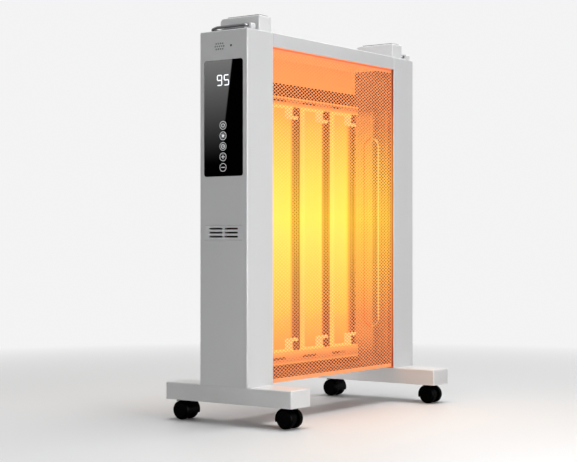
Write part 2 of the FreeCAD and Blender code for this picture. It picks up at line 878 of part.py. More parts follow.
# Touch glass and what lies behind it

def touch_glass():
    """A round-cornered glass plate, flush with the column's outer face."""
    body = new_body("touch_glass_body")
    outline = sketch_on(body, "YZ", "glass_outline", -half)
    rectangle(outline, -(size.glass_width / 2), glass_z - size.glass_height / 2,
              size.glass_width, size.glass_height)
    pad(body, outline, size.glass_thickness)
    fillet(body, size.glass_radius, lambda edge: runs_along(edge, "x"))
    return body


def circuit_board(name, x, width, middle, height):
    """A bare circuit board that stands upright and faces -X."""
    body = new_body(f"{name}_body")
    outline = sketch_on(body, "YZ", f"{name}_outline", x)
    rectangle(outline, -(width / 2), middle - height / 2, width, height)
    pad(body, outline, size.circuit_thickness)
    return body


keep(touch_glass(), "touch_glass")
keep(circuit_board("display_circuit", -circuit_x, circuit_width, glass_z, circuit_height), "display_board")
module_depth = wall_in - circuit_x + size.column_wall - size.glass_thickness
keep(box("digit_block", -(circuit_x + module_depth), -(size.digit_width / 2),
         base_z + size.digit_middle - size.digit_height / 2,
         module_depth, size.digit_width, size.digit_height), "digit_module")


def touch_keys():
    """Sprung sensor pads between the circuit board and the glass, one behind each key."""
    pads = []
    for step in range(int(size.key_count.number)):
        level = base_z + size.key_lowest + size.key_pitch * step
        pads.append(rod(f"key_pad_{step}", "x", -(circuit_x + module_depth), ZERO, level,
                        size.key_diameter / 2, module_depth))
    return group("key_group", pads)


keep(touch_keys(), "touch_sensor_pads")
keep(rod("sound_can", "x", -wall_in, size.sound_place, sound_z,
         size.sound_cup_diameter / 2, size.sound_cup_depth), "buzzer")


def receiver():
    """A clear receiver with its round nose in the hole of the column."""
    nose = rod("receiver_nose", "x", -half, -size.receiver_place, sound_z, size.receiver_diameter / 2,
               size.column_wall + size.overrun)
    half_block = size.receiver_block / 2
    block = box("receiver_block_box", -wall_in, -size.receiver_place - half_block, sound_z - half_block,
                size.receiver_depth, size.receiver_block, size.receiver_block)
    return join("receiver_shape", nose, block)


keep(receiver(), "remote_receiver")


def vent_insert():
    """A flush insert with two columns of three short slots."""
    body = new_body("vent_insert_body")
    outline = sketch_on(body, "YZ", "vent_outline", -half)
    width = size.vent_width - size.fit_gap * 2
    height = size.vent_height - size.fit_gap * 2
    rectangle(outline, -(width / 2), vent_z - height / 2, width, height)
    pad(body, outline, size.column_wall)
    slots = sketch_on(body, "YZ", "vent_slots", -half)
    across = size.vent_slot_gap / 2 + size.vent_slot_length / 2
    for level in (-1, 0, 1):
        for sign in (-1, 1):
            slot(slots, across * sign, vent_z + size.vent_slot_pitch * level,
                 size.vent_slot_length, size.vent_slot_height)
    pocket(body, slots, size.column_wall + size.overrun, forward=True)
    return body


keep(vent_insert(), "vent_insert")

# Power board on the inside of the left end plate

power_z = base_z + size.power_middle
power_x = plate_x + size.spacer_height
power_face = power_x + size.circuit_thickness
keep(circuit_board("power_circuit", -power_face, size.power_width, power_z, size.power_height), "power_board")


def board_spacers():
    """Spacers at the corners of the power board."""
    spacers = []
    across = size.power_width / 2 - size.spacer_inset
    up = size.power_height / 2 - size.spacer_inset
    for sign_y in (-1, 1):
        for sign_z in (-1, 1):
            name = f"spacer_{len(spacers)}"
            level = power_z + up * sign_z
            spacers.append(rod(name, "x", -power_x, across * sign_y, level,
                               size.spacer_diameter / 2, size.spacer_height))
    return group("spacer_group", spacers)


keep(board_spacers(), "board_spacers")


def on_power_board(name, y, z, depth, width, height):
    """A block soldered to the outer face of the power board."""
    return box(name, -(power_face + depth), y - width / 2, z - height / 2, depth, width, height)


relay_share = 0.25
relays = [
    on_power_board(f"relay_{index}", size.power_width * relay_share * sign, power_z,
                   size.relay_depth, size.relay_width, size.relay_height)
    for index, sign in enumerate((-1, 1))
]
keep(group("relay_group", relays), "power_relays")
level_share = 0.3
keep(rod("capacitor_can", "x", -(power_face + size.capacitor_depth), ZERO,
         power_z + size.power_height * level_share, size.capacitor_diameter / 2, size.capacitor_depth),
     "filter_capacitor")
keep(on_power_board("terminal_body", ZERO, power_z - size.power_height * level_share,
                    size.terminal_depth, size.terminal_width, size.terminal_height), "terminal_block")
keep(box("switch_body", -(foot_x + size.switch_width / 2), -(size.switch_depth / 2),
         base_z + size.column_wall, size.switch_width, size.switch_depth, size.switch_height),
     "tip_over_switch")


def cord_gland():
    """A ribbed gland through the rear wall, with a clear bore."""
    head = rod("gland_head_rod", "y", gland_x, back_y, gland_z, size.gland_diameter / 2, size.gland_head)
    neck = rod("gland_neck_rod", "y", gland_x, back_y - size.gland_neck, gland_z,
               size.gland_neck_diameter / 2, size.gland_neck)
    bore = rod("gland_bore_rod", "y", gland_x, back_y - size.gland_neck - size.overrun, gland_z,
               size.gland_bore / 2, size.gland_neck + size.gland_head + size.overrun * 2)
    return cut("gland_shape", join("gland_solid", head, neck), bore)


keep(cord_gland(), "cord_gland")

# Feet

stem_y = size.foot_length / 2 - size.castor_inset
stem_radius = size.stem_diameter / 2
socket_radius = stem_radius + size.socket_wall
foot_top_wall = base_z - size.foot_wall


def foot(side, name):
    """A moulded bar, hollow underneath, with a socket for each castor stem."""
    body = new_body(name)
    outline = sketch_on(body, "XY", f"{name}_outline", size.ground_clearance)
    middle = foot_x * side
    length_y = size.foot_length
    rectangle(outline, middle - size.foot_width / 2, -(length_y / 2), size.foot_width, length_y)
    pad(body, outline, size.foot_height)
    low = size.ground_clearance
    fillet(body, size.foot_edge_radius, lambda edge: not lies_at(edge, "z", low))
    wall = size.foot_wall
    hollow = sketch_on(body, "XY", f"{name}_hollow", low)
    rectangle(hollow, middle - size.foot_width / 2 + wall, wall - length_y / 2,
              size.foot_width - wall * 2, length_y - wall * 2)
    pocket(body, hollow, size.foot_height - wall, forward=True)
    sockets = sketch_on(body, "XY", f"{name}_sockets", low)
    for sign in (-1, 1):
        circle(sockets, middle, stem_y * sign, socket_radius)
    pad(body, sockets, size.foot_height - wall)
    bores = sketch_on(body, "XY", f"{name}_bores", low)
    for sign in (-1, 1):
        circle(bores, middle, stem_y * sign, stem_radius + size.running_gap)
    pocket(body, bores, size.stem_reach + size.overrun, forward=True)
    holes = sketch_on(body, "XY", f"{name}_holes", base_z)
    for across in screw_sides:
        circle(holes, middle, across, screw_hole)
    pocket(body, holes, wall + size.overrun)
    return body


keep(foot(LEFT, "left_foot"), "left_foot")
keep(foot(RIGHT, "right_foot"), "right_foot")


def foot_screws():
    """Screws from inside each foot up into the column floor."""
    screws = []
    for side in (LEFT, RIGHT):
        for across in screw_sides:
            name = f"foot_screw_{len(screws)}"
            head = rod(f"{name}_head", "z", foot_x * side, across, foot_top_wall - size.screw_head_height,
                       size.screw_head_diameter / 2, size.screw_head_height)
            grip = size.foot_wall + size.column_wall
            shank = rod(f"{name}_shank", "z", foot_x * side, across, foot_top_wall, screw_radius, grip)
            screws.append(join(name, head, shank))
    return group("foot_screw_group", screws)


keep(foot_screws(), "foot_screws")

# Castors: a hood that swivels on its stem, and two wheels on one axle

wheel_radius = size.wheel_diameter / 2
wheel_inner = size.web_thickness / 2 + size.wheel_side_gap
wheel_outer = wheel_inner + size.wheel_width
hood_inner = wheel_radius + size.hood_gap
hood_outer = hood_inner + size.hood_wall
hood_top = wheel_radius + hood_outer
axle_radius = size.axle_diameter / 2


def castor(name, side, end):
    """The four pieces of one castor; end is the way its wheels trail."""
    middle = foot_x * side
    stem_place = stem_y * end
    wheel_y = stem_place + size.castor_trail * end
    barrel = rod(f"{name}_barrel", "x", middle - wheel_outer, wheel_y, wheel_radius,
                 hood_outer, wheel_outer * 2)
    shell_out = rounded(f"{name}_shell_out", barrel, size.hood_shoulder_radius,
                        lambda edge: not runs_along(edge, "x"))
    shell_in = rod(f"{name}_shell_in", "x", middle - wheel_outer - size.overrun, wheel_y, wheel_radius,
                   hood_inner, (wheel_outer + size.overrun) * 2)
    sector_y = wheel_y - hood_outer if end == RIGHT else wheel_y - size.hood_overhang
    sector = box(f"{name}_sector", middle - wheel_outer, sector_y, wheel_radius - size.hood_skirt,
                 wheel_outer * 2, hood_outer + size.hood_overhang, hood_outer + size.hood_skirt)
    canopy = common(f"{name}_canopy", cut(f"{name}_ring", shell_out, shell_in), sector)
    web_half = size.web_thickness / 2
    web = rod(f"{name}_web", "x", middle - web_half, wheel_y, wheel_radius,
              size.web_radius, size.web_thickness)
    block = box(f"{name}_block", middle - web_half, stem_place - size.stem_block / 2, wheel_radius,
                size.web_thickness, size.stem_block, hood_top - wheel_radius)
    axle_bore = rod(f"{name}_axle_bore", "x", middle - web_half - size.overrun, wheel_y, wheel_radius,
                    axle_radius + size.running_gap, size.web_thickness + size.overrun * 2)
    stem_z = hood_top - size.stem_grip
    stem_bore = rod(f"{name}_stem_bore", "z", middle, stem_place, stem_z,
                    stem_radius + size.press_gap, size.stem_grip + size.overrun)
    hood = cut(f"{name}_hood_shape", join(f"{name}_hood_solid", canopy, web, block), axle_bore, stem_bore)
    keep(hood, f"{name}_hood")
    stem_length = size.stem_grip + size.ground_clearance - hood_top + size.stem_reach
    keep(rod(f"{name}_stem_rod", "z", middle, stem_place, stem_z, stem_radius, stem_length), f"{name}_stem")
    wheels = [
        castor_wheel(f"{name}_wheel_{index}", middle, sign, wheel_y)
        for index, sign in enumerate((LEFT, RIGHT))
    ]
    keep(group(f"{name}_pair", wheels), f"{name}_wheels")
    axle_half = wheel_inner + size.wheel_bore_depth - size.fit_gap
    keep(rod(f"{name}_axle_rod", "x", middle - axle_half, wheel_y, wheel_radius, axle_radius, axle_half * 2),
         f"{name}_axle")


def castor_wheel(name, middle, sign, wheel_y):
    """A wheel with round shoulders, a dished face and a blind bore."""
    low = middle + (wheel_inner if sign > 0 else -wheel_outer)
    disc = rod(f"{name}_disc", "x", low, wheel_y, wheel_radius, wheel_radius, size.wheel_width)
    face = middle + wheel_outer * sign
    tyre = rounded(f"{name}_tyre", disc, size.wheel_shoulder_radius, lambda edge: lies_at(edge, "x", face))
    dish_x = face - size.wheel_dish_depth if sign > 0 else face - size.overrun
    dish = rod(f"{name}_dish", "x", dish_x, wheel_y, wheel_radius, size.wheel_dish_radius,
               size.wheel_dish_depth + size.overrun)
    bore_x = middle + (wheel_inner - size.overrun if sign > 0 else -(wheel_inner + size.wheel_bore_depth))
    bore = rod(f"{name}_bore", "x", bore_x, wheel_y, wheel_radius, axle_radius + size.press_gap,
               size.wheel_bore_depth + size.overrun)
    return cut(name, tyre, dish, bore)


for end_name, end_sign in (("front", LEFT), ("rear", RIGHT)):
    for side_name, side_sign in (("left", LEFT), ("right", RIGHT)):
        castor(f"castor_{end_name}_{side_name}", side_sign, end_sign)

# Blocks, pads, brackets and wire loops on top of the columns

block_y = front_y + size.block_front
block_top = top_z + size.block_height
pivot_y = front_y + size.loop_pivot
pivot_z = top_z + size.loop_lift
loop_x = half - size.loop_inset
wire_radius = size.loop_wire / 2


def top_block(side, name):
    """A moulded block with a rounded rear top edge, hollow underneath."""
    body = new_body(name)
    outline = sketch_on(body, "XY", f"{name}_outline", top_z)
    first_x = mirrored(side, inner_x, size.block_width)
    rectangle(outline, first_x, block_y, size.block_width, size.block_length)
    pad(body, outline, size.block_height)
    rear = block_y + size.block_length
    fillet(body, size.block_rear_radius,
           lambda edge: lies_at(edge, "y", rear) and lies_at(edge, "z", block_top))
    fillet(body, size.block_edge_radius, lambda edge: not lies_at(edge, "z", top_z)
           and not (runs_along(edge, "x") and edge.BoundBox.Center.y > block_y.number + SLACK))
    wall = size.block_wall
    hollow = sketch_on(body, "XY", f"{name}_hollow", top_z)
    rectangle(hollow, first_x + wall, block_y + wall,
              size.block_width - wall * 2, size.block_length - wall * 2 - size.block_rear_radius)
    pocket(body, hollow, size.block_height - wall, forward=True)
    return body


def block_pad(side, name):
    """A thin soft pad that lies on a block."""
    margin = size.pad_margin
    length = size.block_length - size.block_rear_radius - margin * 2
    width = size.block_width - margin * 2
    slab = box(f"{name}_slab", mirrored(side, inner_x + margin, width), block_y + margin, block_top,
               width, length, size.pad_height)
    return rounded(f"{name}_shape", slab, size.pad_corner_radius, lambda edge: runs_along(edge, "z"))


def loop_bracket(side, name):
    """A bearing block with a round bore for the ends of the wire loop."""
    middle = loop_x * side
    block = box(f"{name}_block", middle - size.bracket_width / 2, pivot_y - size.bracket_depth / 2, top_z,
                size.bracket_width, size.bracket_depth, size.bracket_height)
    crown = top_z + size.bracket_height
    shaped = rounded(f"{name}_crown", block, size.bracket_radius,
                     lambda edge: runs_along(edge, "x") and lies_at(edge, "z", crown))
    bore = rod(f"{name}_bore", "x", middle - size.bracket_width / 2 - size.overrun, pivot_y, pivot_z,
               wire_radius + size.running_gap, size.bracket_width + size.overrun * 2)
    return cut(f"{name}_shape", shaped, bore)


def bent_wire(points, radius):
    """Straight runs through the points, joined by tangent arcs of one radius."""
    edges = []
    start = points[0]
    for before, corner, after in zip(points, points[1:], points[2:]):
        back = (before - corner).normalize()
        ahead = (after - corner).normalize()
        half_turn = (math.pi - back.getAngle(ahead)) / 2
        setback = radius * math.tan(half_turn)
        first = corner + back * setback
        last = corner + ahead * setback
        inward = (back + ahead).normalize()
        middle = corner + inward * (radius / math.cos(half_turn) - radius)
        edges.append(Part.LineSegment(start, first).toShape())
        edges.append(Part.Arc(first, middle, last).toShape())
        start = last
    edges.append(Part.LineSegment(start, points[-1]).toShape())
    return Part.Wire(edges)


def rack_loop(side, name):
    """A folding wire loop whose ends turn in the bracket and whose bar rests on the column."""
    middle = (loop_x * side).number
    leg = (size.loop_width / 2).number
    tail = size.loop_end.number
    far_y = pivot_y + size.loop_reach
    bend_y = (far_y - size.loop_ramp).number
    low_z = (top_z + wire_radius + size.fit_gap).number
    half_path = [
        (tail, pivot_y.number, pivot_z.number),
        (leg, pivot_y.number, pivot_z.number),
        (leg, bend_y, pivot_z.number),
        (leg, far_y.number, low_z),
    ]
    points = [Vector(middle - x, y, z) for x, y, z in half_path]
    points += [Vector(middle + x, y, z) for x, y, z in reversed(half_path)]
    path = doc.addObject("Part::Feature", f"{name}_path")
    path.Shape = bent_wire(points, size.loop_corner.number)
    section = doc.addObject("Part::Circle", f"{name}_section")
    section.Placement = FreeCAD.Placement(points[0], TURNS["x"])
    bind(section, Radius=wire_radius)
    wire = doc.addObject("Part::Sweep", f"{name}_sweep")
    wire.Sections = [section]
    wire.Spine = path
    wire.Solid = True
    doc.recompute()
    print(name, "volume over section times length:",
          round(wire.Shape.Volume / (math.pi * wire_radius.number ** 2 * path.Shape.Length), 4))
    return wire


for side_name, side_sign in (("left", LEFT), ("right", RIGHT)):
    keep(top_block(side_sign, f"{side_name}_top_block"), f"{side_name}_top_block")
    keep(block_pad(side_sign, f"{side_name}_pad"), f"{side_name}_block_pad")
    keep(loop_bracket(side_sign, f"{side_name}_bracket"), f"{side_name}_loop_bracket")
    keep(rack_loop(side_sign, f"{side_name}_loop"), f"{side_name}_rack_loop")

# Check and write

doc.recompute()
for item in doc.Objects:
    if {"Invalid", "Error"} & set(item.State):
        raise RuntimeError(f"{item.Label} failed: {item.State}")
for item in nodes:
    if item.Shape.isNull() or not item.Shape.isValid() or not item.Shape.Solids:
        raise RuntimeError(f"{item.Label} has no valid solid")
os.makedirs("parts", exist_ok=True)
for item in nodes:
    item.Shape.exportStep(f"parts/{item.Label}.step")
print(len(nodes), "nodes,", sum(len(item.Shape.Solids) for item in nodes), "solids")
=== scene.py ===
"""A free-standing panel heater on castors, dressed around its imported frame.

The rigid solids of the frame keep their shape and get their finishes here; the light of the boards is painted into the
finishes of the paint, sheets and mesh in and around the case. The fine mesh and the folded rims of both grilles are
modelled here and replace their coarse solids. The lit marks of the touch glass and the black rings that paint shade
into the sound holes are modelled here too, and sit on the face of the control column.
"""
import logging
import math
from abc import ABC, abstractmethod
from dataclasses import dataclass
from enum import Enum
from typing import Any, Callable, Iterable, Optional, Union

import bpy
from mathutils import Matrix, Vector


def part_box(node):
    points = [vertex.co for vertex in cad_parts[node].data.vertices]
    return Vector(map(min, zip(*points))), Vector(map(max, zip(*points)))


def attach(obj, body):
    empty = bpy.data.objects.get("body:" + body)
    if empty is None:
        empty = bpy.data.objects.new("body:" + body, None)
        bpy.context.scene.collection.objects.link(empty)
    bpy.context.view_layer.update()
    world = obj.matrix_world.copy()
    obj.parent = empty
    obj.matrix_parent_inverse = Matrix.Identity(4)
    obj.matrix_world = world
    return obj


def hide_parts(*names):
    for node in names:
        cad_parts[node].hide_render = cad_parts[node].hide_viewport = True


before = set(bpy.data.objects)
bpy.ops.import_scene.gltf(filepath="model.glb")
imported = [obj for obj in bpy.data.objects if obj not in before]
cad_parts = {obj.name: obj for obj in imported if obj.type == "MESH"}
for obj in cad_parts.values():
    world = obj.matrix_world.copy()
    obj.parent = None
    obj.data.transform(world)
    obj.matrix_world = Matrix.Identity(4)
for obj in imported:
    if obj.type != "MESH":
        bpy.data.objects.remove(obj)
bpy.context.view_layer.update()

LOG = logging.getLogger("panel_heater")
MM = 0.001
QUARTER = math.pi / 2
# Heights between which the glow of the case changes
CASE_LOW, CASE_HIGH = 68 * MM, 642 * MM
# A coordinate in metres that no piece reaches
NOWHERE = 1.0
# Cosine above which a face counts as looking along a direction
FACING = 0.9
# Angle between two faces below which they are shaded as one
SMOOTH_BELOW = math.radians(35)

Triple = tuple[float, float, float]
Colour = Triple
Stops = tuple[tuple[float, Colour], ...]
Feed = Union["Wire", bpy.types.NodeSocket, float, Iterable[float]]


class Side(Enum):
    """The outer face of a panel, as the sign of its Y direction."""

    FRONT = -1
    REAR = 1


class KeySign(Enum):
    """What is drawn inside the ring of a touch key."""

    POWER = "power"
    SUN = "sun"
    CLOCK = "clock"
    PLUS = "plus"
    MINUS = "minus"


# Colours and ramps

def grey(level: float) -> Colour:
    """A colour without hue."""
    return (level, level, level)


def scaled(colour: Colour, share: float) -> Colour:
    """A colour with each part multiplied by a share."""
    return tuple(part * share for part in colour)


def even(colour: Colour) -> Stops:
    """A ramp of one colour."""
    return ((0.0, colour), (1.0, colour))


def peak(ends: Colour, middle: Colour) -> Stops:
    """A ramp that is even near both ends and strongest halfway."""
    return ((0.0, ends), (0.18, ends), (0.5, middle), (0.80, ends), (1.0, ends))


# Shader expressions

class Wire:
    """A shader value that takes part in Python arithmetic."""

    def __init__(self, recipe: "Recipe", socket: bpy.types.NodeSocket) -> None:
        """Keeps the socket and the recipe that new nodes go to."""
        self.recipe = recipe
        self.socket = socket

    def _math(self, operation: str, *values: Feed, clamp: bool = False) -> "Wire":
        """Adds a Math node.

        Args:
            operation: name of the Math operation.
            values: its inputs in order.
            clamp: whether the result is kept between 0 and 1.

        Returns:
            The node's result.
        """
        settings = {"operation": operation, "use_clamp": clamp}
        node = self.recipe.node("ShaderNodeMath", settings, dict(enumerate(values)))
        return Wire(self.recipe, node.outputs[0])

    def __add__(self, other: Feed) -> "Wire":
        """Sum with a number or another value."""
        return self._math("ADD", self, other)

    __radd__ = __add__

    def __sub__(self, other: Feed) -> "Wire":
        """Difference from a number or another value."""
        return self._math("SUBTRACT", self, other)

    def __rsub__(self, other: Feed) -> "Wire":
        """Difference of a number from this value."""
        return self._math("SUBTRACT", other, self)

    def __mul__(self, other: Feed) -> "Wire":
        """Product with a number or another value."""
        return self._math("MULTIPLY", self, other)

    __rmul__ = __mul__

    def __truediv__(self, other: Feed) -> "Wire":
        """Quotient by a number or another value."""
        return self._math("DIVIDE", self, other)

    def __rtruediv__(self, other: Feed) -> "Wire":
        """Quotient of a number by this value."""
        return self._math("DIVIDE", other, self)

    def __pow__(self, other: Feed) -> "Wire":
        """This value raised to a power."""
        return self._math("POWER", self, other)

    def __rpow__(self, other: Feed) -> "Wire":
        """A number raised to this value."""
        return self._math("POWER", other, self)

    def above(self, limit: Feed) -> "Wire":
        """1 where this value is over the limit, else 0."""
        return self._math("GREATER_THAN", self, limit)

    def at_least(self, limit: Feed) -> "Wire":
        """This value, or the limit where that is more."""
        return self._math("MAXIMUM", self, limit)

    def size(self) -> "Wire":
        """This value without its sign."""
        return self._math("ABSOLUTE", self)

    def about(self, middle: float, span: float) -> "Wire":
        """A value of 0 to 1 laid over a span about a middle."""
        return self * span + (middle - span / 2)

    def ramp_between(self, low: float, high: float) -> "Wire":
        """Rises from 0 at low to 1 at high, and stays there."""
        return self._math("MULTIPLY", self - low, 1 / (high - low), clamp=True)


class Recipe:
    """The node tree of a material or of the world while it is written."""

    def __init__(self, owner: Union[bpy.types.Material, bpy.types.World]) -> None:
        """Starts with an empty tree.

        Args:
            owner: the material or world that the tree belongs to.
        """
        owner.use_nodes = True
        self.owner = owner
        self.tree = owner.node_tree
        self.tree.nodes.clear()

    def node(self, kind: str, settings: Optional[dict[str, Any]] = None,
             inputs: Optional[dict[Union[str, int], Feed]] = None) -> bpy.types.Node:
        """Adds any node.

        Args:
            kind: the node's type name.
            settings: properties that are set first; "stops" holds a ramp's places and colours.
            inputs: values or links by socket name or number.

        Returns:
            The new node.
        """
        made = self.tree.nodes.new(kind)
        for name, value in (settings or {}).items():
            if name == "stops":
                self._set_stops(made.color_ramp, value)
            else:
                setattr(made, name, value)
        for key, value in (inputs or {}).items():
            self._feed(made.inputs[key], value)
        return made

    @staticmethod
    def _set_stops(ramp: bpy.types.ColorRamp, stops: Stops) -> None:
        """Gives a new ramp its stops.

        Args:
            ramp: the ramp, which has two stops at first.
            stops: places and colours in rising order.
        """
        while len(ramp.elements) < len(stops):
            ramp.elements.new(1.0)
        for element, (place, colour) in zip(ramp.elements, stops):
            element.position = place
            element.color = (*colour, 1.0)

    def _feed(self, socket: bpy.types.NodeSocket, value: Feed) -> None:
        """Links a value to a socket, or sets a plain number or colour on it.

        Args:
            socket: the input of a node.
            value: what it gets.
        """
        source = value.socket if isinstance(value, Wire) else value
        if isinstance(source, bpy.types.NodeSocket):
            self.tree.links.new(source, socket)
        elif socket.type == "RGBA":
            socket.default_value = (*source, 1.0)
        else:
            socket.default_value = source

    def place(self) -> bpy.types.NodeSocket:
        """The point on the piece, in the heater's own frame."""
        return self.node("ShaderNodeTexCoord").outputs["Object"]

    def axis(self, letter: str) -> Wire:
        """One coordinate of the point on the piece, in metres."""
        parts = self.node("ShaderNodeSeparateXYZ", inputs={"Vector": self.place()})
        return Wire(self, parts.outputs[letter])

    def reach(self, letter: str) -> Wire:
        """Distance of the point from the heater's middle along one axis."""
        return self.axis(letter).size()

    def height(self, low: float = CASE_LOW, high: float = CASE_HIGH) -> Wire:
        """How far up the point lies between two heights, from 0 to 1."""
        return self.axis("Z").ramp_between(low, high)

    def noise(self, scale: float, detail: float = 2.0, stretch: Triple = (1.0, 1.0, 1.0)) -> Wire:
        """A cloud of values about 0.5.

        Args:
            scale: lumps per metre.
            detail: how much finer structure is added.
            stretch: how far the pattern is squeezed along each axis.

        Returns:
            The noise value.
        """
        point = self.node("ShaderNodeMapping", inputs={"Vector": self.place(), "Scale": stretch}).outputs[0]
        cloud = self.node("ShaderNodeTexNoise", inputs={"Vector": point, "Scale": scale, "Detail": detail})
        return Wire(self, cloud.outputs["Fac"])

    def cells(self, scale: float) -> Wire:
        """Distance to the nearest of many scattered points."""
        spots = self.node("ShaderNodeTexVoronoi", inputs={"Vector": self.place(), "Scale": scale})
        return Wire(self, spots.outputs["Distance"])

    def colours(self, value: Wire, stops: Stops) -> bpy.types.NodeSocket:
        """The colour that a value takes on a ramp."""
        return self.node("ShaderNodeValToRGB", {"stops": stops}, {"Fac": value}).outputs["Color"]

    def blend(self, share: Feed, first: Feed, second: Feed, kind: str = "MIX") -> bpy.types.NodeSocket:
        """Two colours mixed.

        Args:
            share: how much of the second colour is taken, as a value or a plain number.
            first: colour where the share is 0.
            second: colour where the share is 1.
            kind: name of the mix.

        Returns:
            The mixed colour.
        """
        settings = {"data_type": "RGBA", "blend_type": kind}
        mix = self.node("ShaderNodeMix", settings, {0: share, 6: first, 7: second})
        return mix.outputs[2]

    def bump(self, height: Wire, depth: float, strength: float) -> bpy.types.NodeSocket:
        """A normal that follows a height of that depth in metres."""
        inputs = {"Height": height, "Distance": depth, "Strength": strength}
        return self.node("ShaderNodeBump", inputs=inputs).outputs["Normal"]

    def surface(self, inputs: dict[str, Feed]) -> bpy.types.Node:
        """A surface shader with values or links by socket name."""
        return self.node("ShaderNodeBsdfPrincipled", inputs=inputs)

    def either(self, share: Feed, first: bpy.types.Node, second: bpy.types.Node) -> bpy.types.Node:
        """Two shaders mixed, the second one where the share is 1."""
        return self.node("ShaderNodeMixShader", inputs={0: share, 1: first.outputs[0], 2: second.outputs[0]})

    def end(self, shader: bpy.types.Node) -> Union[bpy.types.Material, bpy.types.World]:
        """Ends the tree with a shader and returns the tree's owner."""
        self.node(f"ShaderNodeOutput{type(self.owner).__name__}", inputs={"Surface": shader.outputs[0]})
        return self.owner


# Finishes

@dataclass(frozen=True)
class Finish(ABC):
    """A named finish; its kinds differ in what feeds the surface shader."""

    name: str

    @abstractmethod
    def sockets(self, recipe: Recipe) -> dict[str, Feed]:
        """What feeds the surface shader, by socket name."""

    def material(self) -> bpy.types.Material:
        """The finish as a new material."""
        recipe = Recipe(bpy.data.materials.new(self.name))
        return recipe.end(recipe.surface(self.sockets(recipe)))


@dataclass(frozen=True)
class SatinPaint(Finish):
    """Powder coat: a fine orange-peel skin with a soft gloss. Where it faces the boards, their light is painted on as
    a dark red base and a red glow, and a highlight is painted along its edge beside the case.
    """

    colour: Colour
    tone_share: float = 0.05
    roughness: float = 0.36
    gloss_span: float = 0.08
    cloud_scale: float = 7.0
    peel_scale: float = 900.0
    detail: float = 3.0
    peel_depth: float = 0.02 * MM
    peel_strength: float = 0.5
    # The inside gets the boards' light painted on: a dark red base and a red glow that changes with height
    inner_x: float = 195.55 * MM
    inner_colour: Colour = (0.10, 0.008, 0.003)
    glow: Stops = (
        (0.0, (0.66, 0.045, 0.01)), (0.25, (0.76, 0.07, 0.01)), (0.50, (0.97, 0.24, 0.015)),
        (0.70, (0.92, 0.18, 0.01)), (0.86, (0.60, 0.045, 0.01)), (1.0, (0.27, 0.025, 0.01)),
    )
    # A highlight painted along the column's edge beside the case
    bend_x: float = 197.0 * MM
    bend_y: float = 50.8 * MM
    bend_colour: Colour = (0.98, 0.985, 0.99)

    def inside(self, recipe: Recipe) -> Wire:
        """1 where the coat faces the boards, else 0."""
        return 1 - recipe.reach("X").above(self.inner_x)

    def bend(self, recipe: Recipe) -> Wire:
        """1 on the edge beside the case, where a highlight is painted, else 0."""
        return recipe.reach("Y").above(self.bend_y) * (1 - recipe.reach("X").above(self.bend_x))

    def sockets(self, recipe: Recipe) -> dict[str, Feed]:
        """The coat, with its painted edge highlight and the boards' light painted on its inside.

        Args:
            recipe: the tree that its nodes go to.

        Returns:
            What feeds the surface shader.
        """
        cloud = recipe.noise(self.cloud_scale, self.detail)
        peel = recipe.noise(self.peel_scale, self.detail)
        inside = self.inside(recipe)
        coat = recipe.blend(cloud, scaled(self.colour, 1 - self.tone_share), self.colour)
        # Painted highlight: a paler colour along the edge beside the case
        coat = recipe.blend(self.bend(recipe), coat, self.bend_colour)
        # Painted light: the faces towards the boards get the dark red base and the red glow
        return {
            "Base Color": recipe.blend(inside, coat, self.inner_colour),
            "Roughness": cloud.about(self.roughness, self.gloss_span),
            "Emission Color": recipe.blend(inside, grey(0.0), recipe.colours(recipe.height(), self.glow)),
            "Emission Strength": 1.0,
            "Normal": recipe.bump(peel, self.peel_depth, self.peel_strength),
        }


@dataclass(frozen=True)
class LidPaint(SatinPaint):
    """The same coat on the top rail, with the boards' light painted on its inside from below and a highlight painted
    along its upper edges.
    """

    inner_y: float = 50.2 * MM
    inner_z: float = 665.2 * MM
    # Where the highlight is painted along the rail's upper edges
    bend_y: float = 49.8 * MM
    bend_z: float = 664.6 * MM

    def inside(self, recipe: Recipe) -> Wire:
        """1 on the inner faces of the rail, else 0."""
        return 1 - recipe.axis("Z").above(self.inner_z).at_least(recipe.reach("Y").above(self.inner_y))

    def bend(self, recipe: Recipe) -> Wire:
        """1 along both upper edges, where a highlight is painted, else 0."""
        return recipe.axis("Z").above(self.bend_z) * recipe.reach("Y").above(self.bend_y)


@dataclass(frozen=True)
class MouldedPlastic(Finish):
    """Injection moulding with a spark-eroded grain."""

    colour: Colour
    roughness: float = 0.45
    grain_scale: float = 1600.0
    grain_depth: float = 0.03 * MM
    grain_strength: float = 0.5
    cloud_scale: float = 24.0
    cloud_detail: float = 3.0
    cloud_share: float = 0.7
    tone_share: float = 0.12
    gloss_span: float = 0.14
    shine: float = 0.5

    def sockets(self, recipe: Recipe) -> dict[str, Feed]:
        """The moulding, clouded a little and grained.

        Args:
            recipe: the tree that its nodes go to.

        Returns:
            What feeds the surface shader.
        """
        cloud = recipe.noise(self.cloud_scale, self.cloud_detail)
        grain = recipe.noise(self.grain_scale)
        mottle = cloud * self.cloud_share + grain * (1 - self.cloud_share)
        return {
            "Base Color": recipe.blend(mottle, scaled(self.colour, 1 - self.tone_share), self.colour),
            "Roughness": grain.about(self.roughness, self.gloss_span),
            "Specular IOR Level": self.shine,
            "Normal": recipe.bump(grain, self.grain_depth, self.grain_strength),
        }


@dataclass(frozen=True)
class BareMetal(Finish):
    """Plated or brushed metal with fine drawing marks along one axis."""

    colour: Colour
    roughness: float = 0.22
    gloss_span: float = 0.16
    dull_share: float = 0.82
    stretch: Triple = (1.0, 0.03, 1.0)
    mark_scale: float = 900.0

    def sockets(self, recipe: Recipe) -> dict[str, Feed]:
        """The metal, duller in its drawing marks.

        Args:
            recipe: the tree that its nodes go to.

        Returns:
            What feeds the surface shader.
        """
        marks = recipe.noise(self.mark_scale, stretch=self.stretch)
        return {
            "Base Color": recipe.blend(marks, scaled(self.colour, self.dull_share), self.colour),
            "Metallic": 1.0,
            "Roughness": marks.about(self.roughness, self.gloss_span),
        }


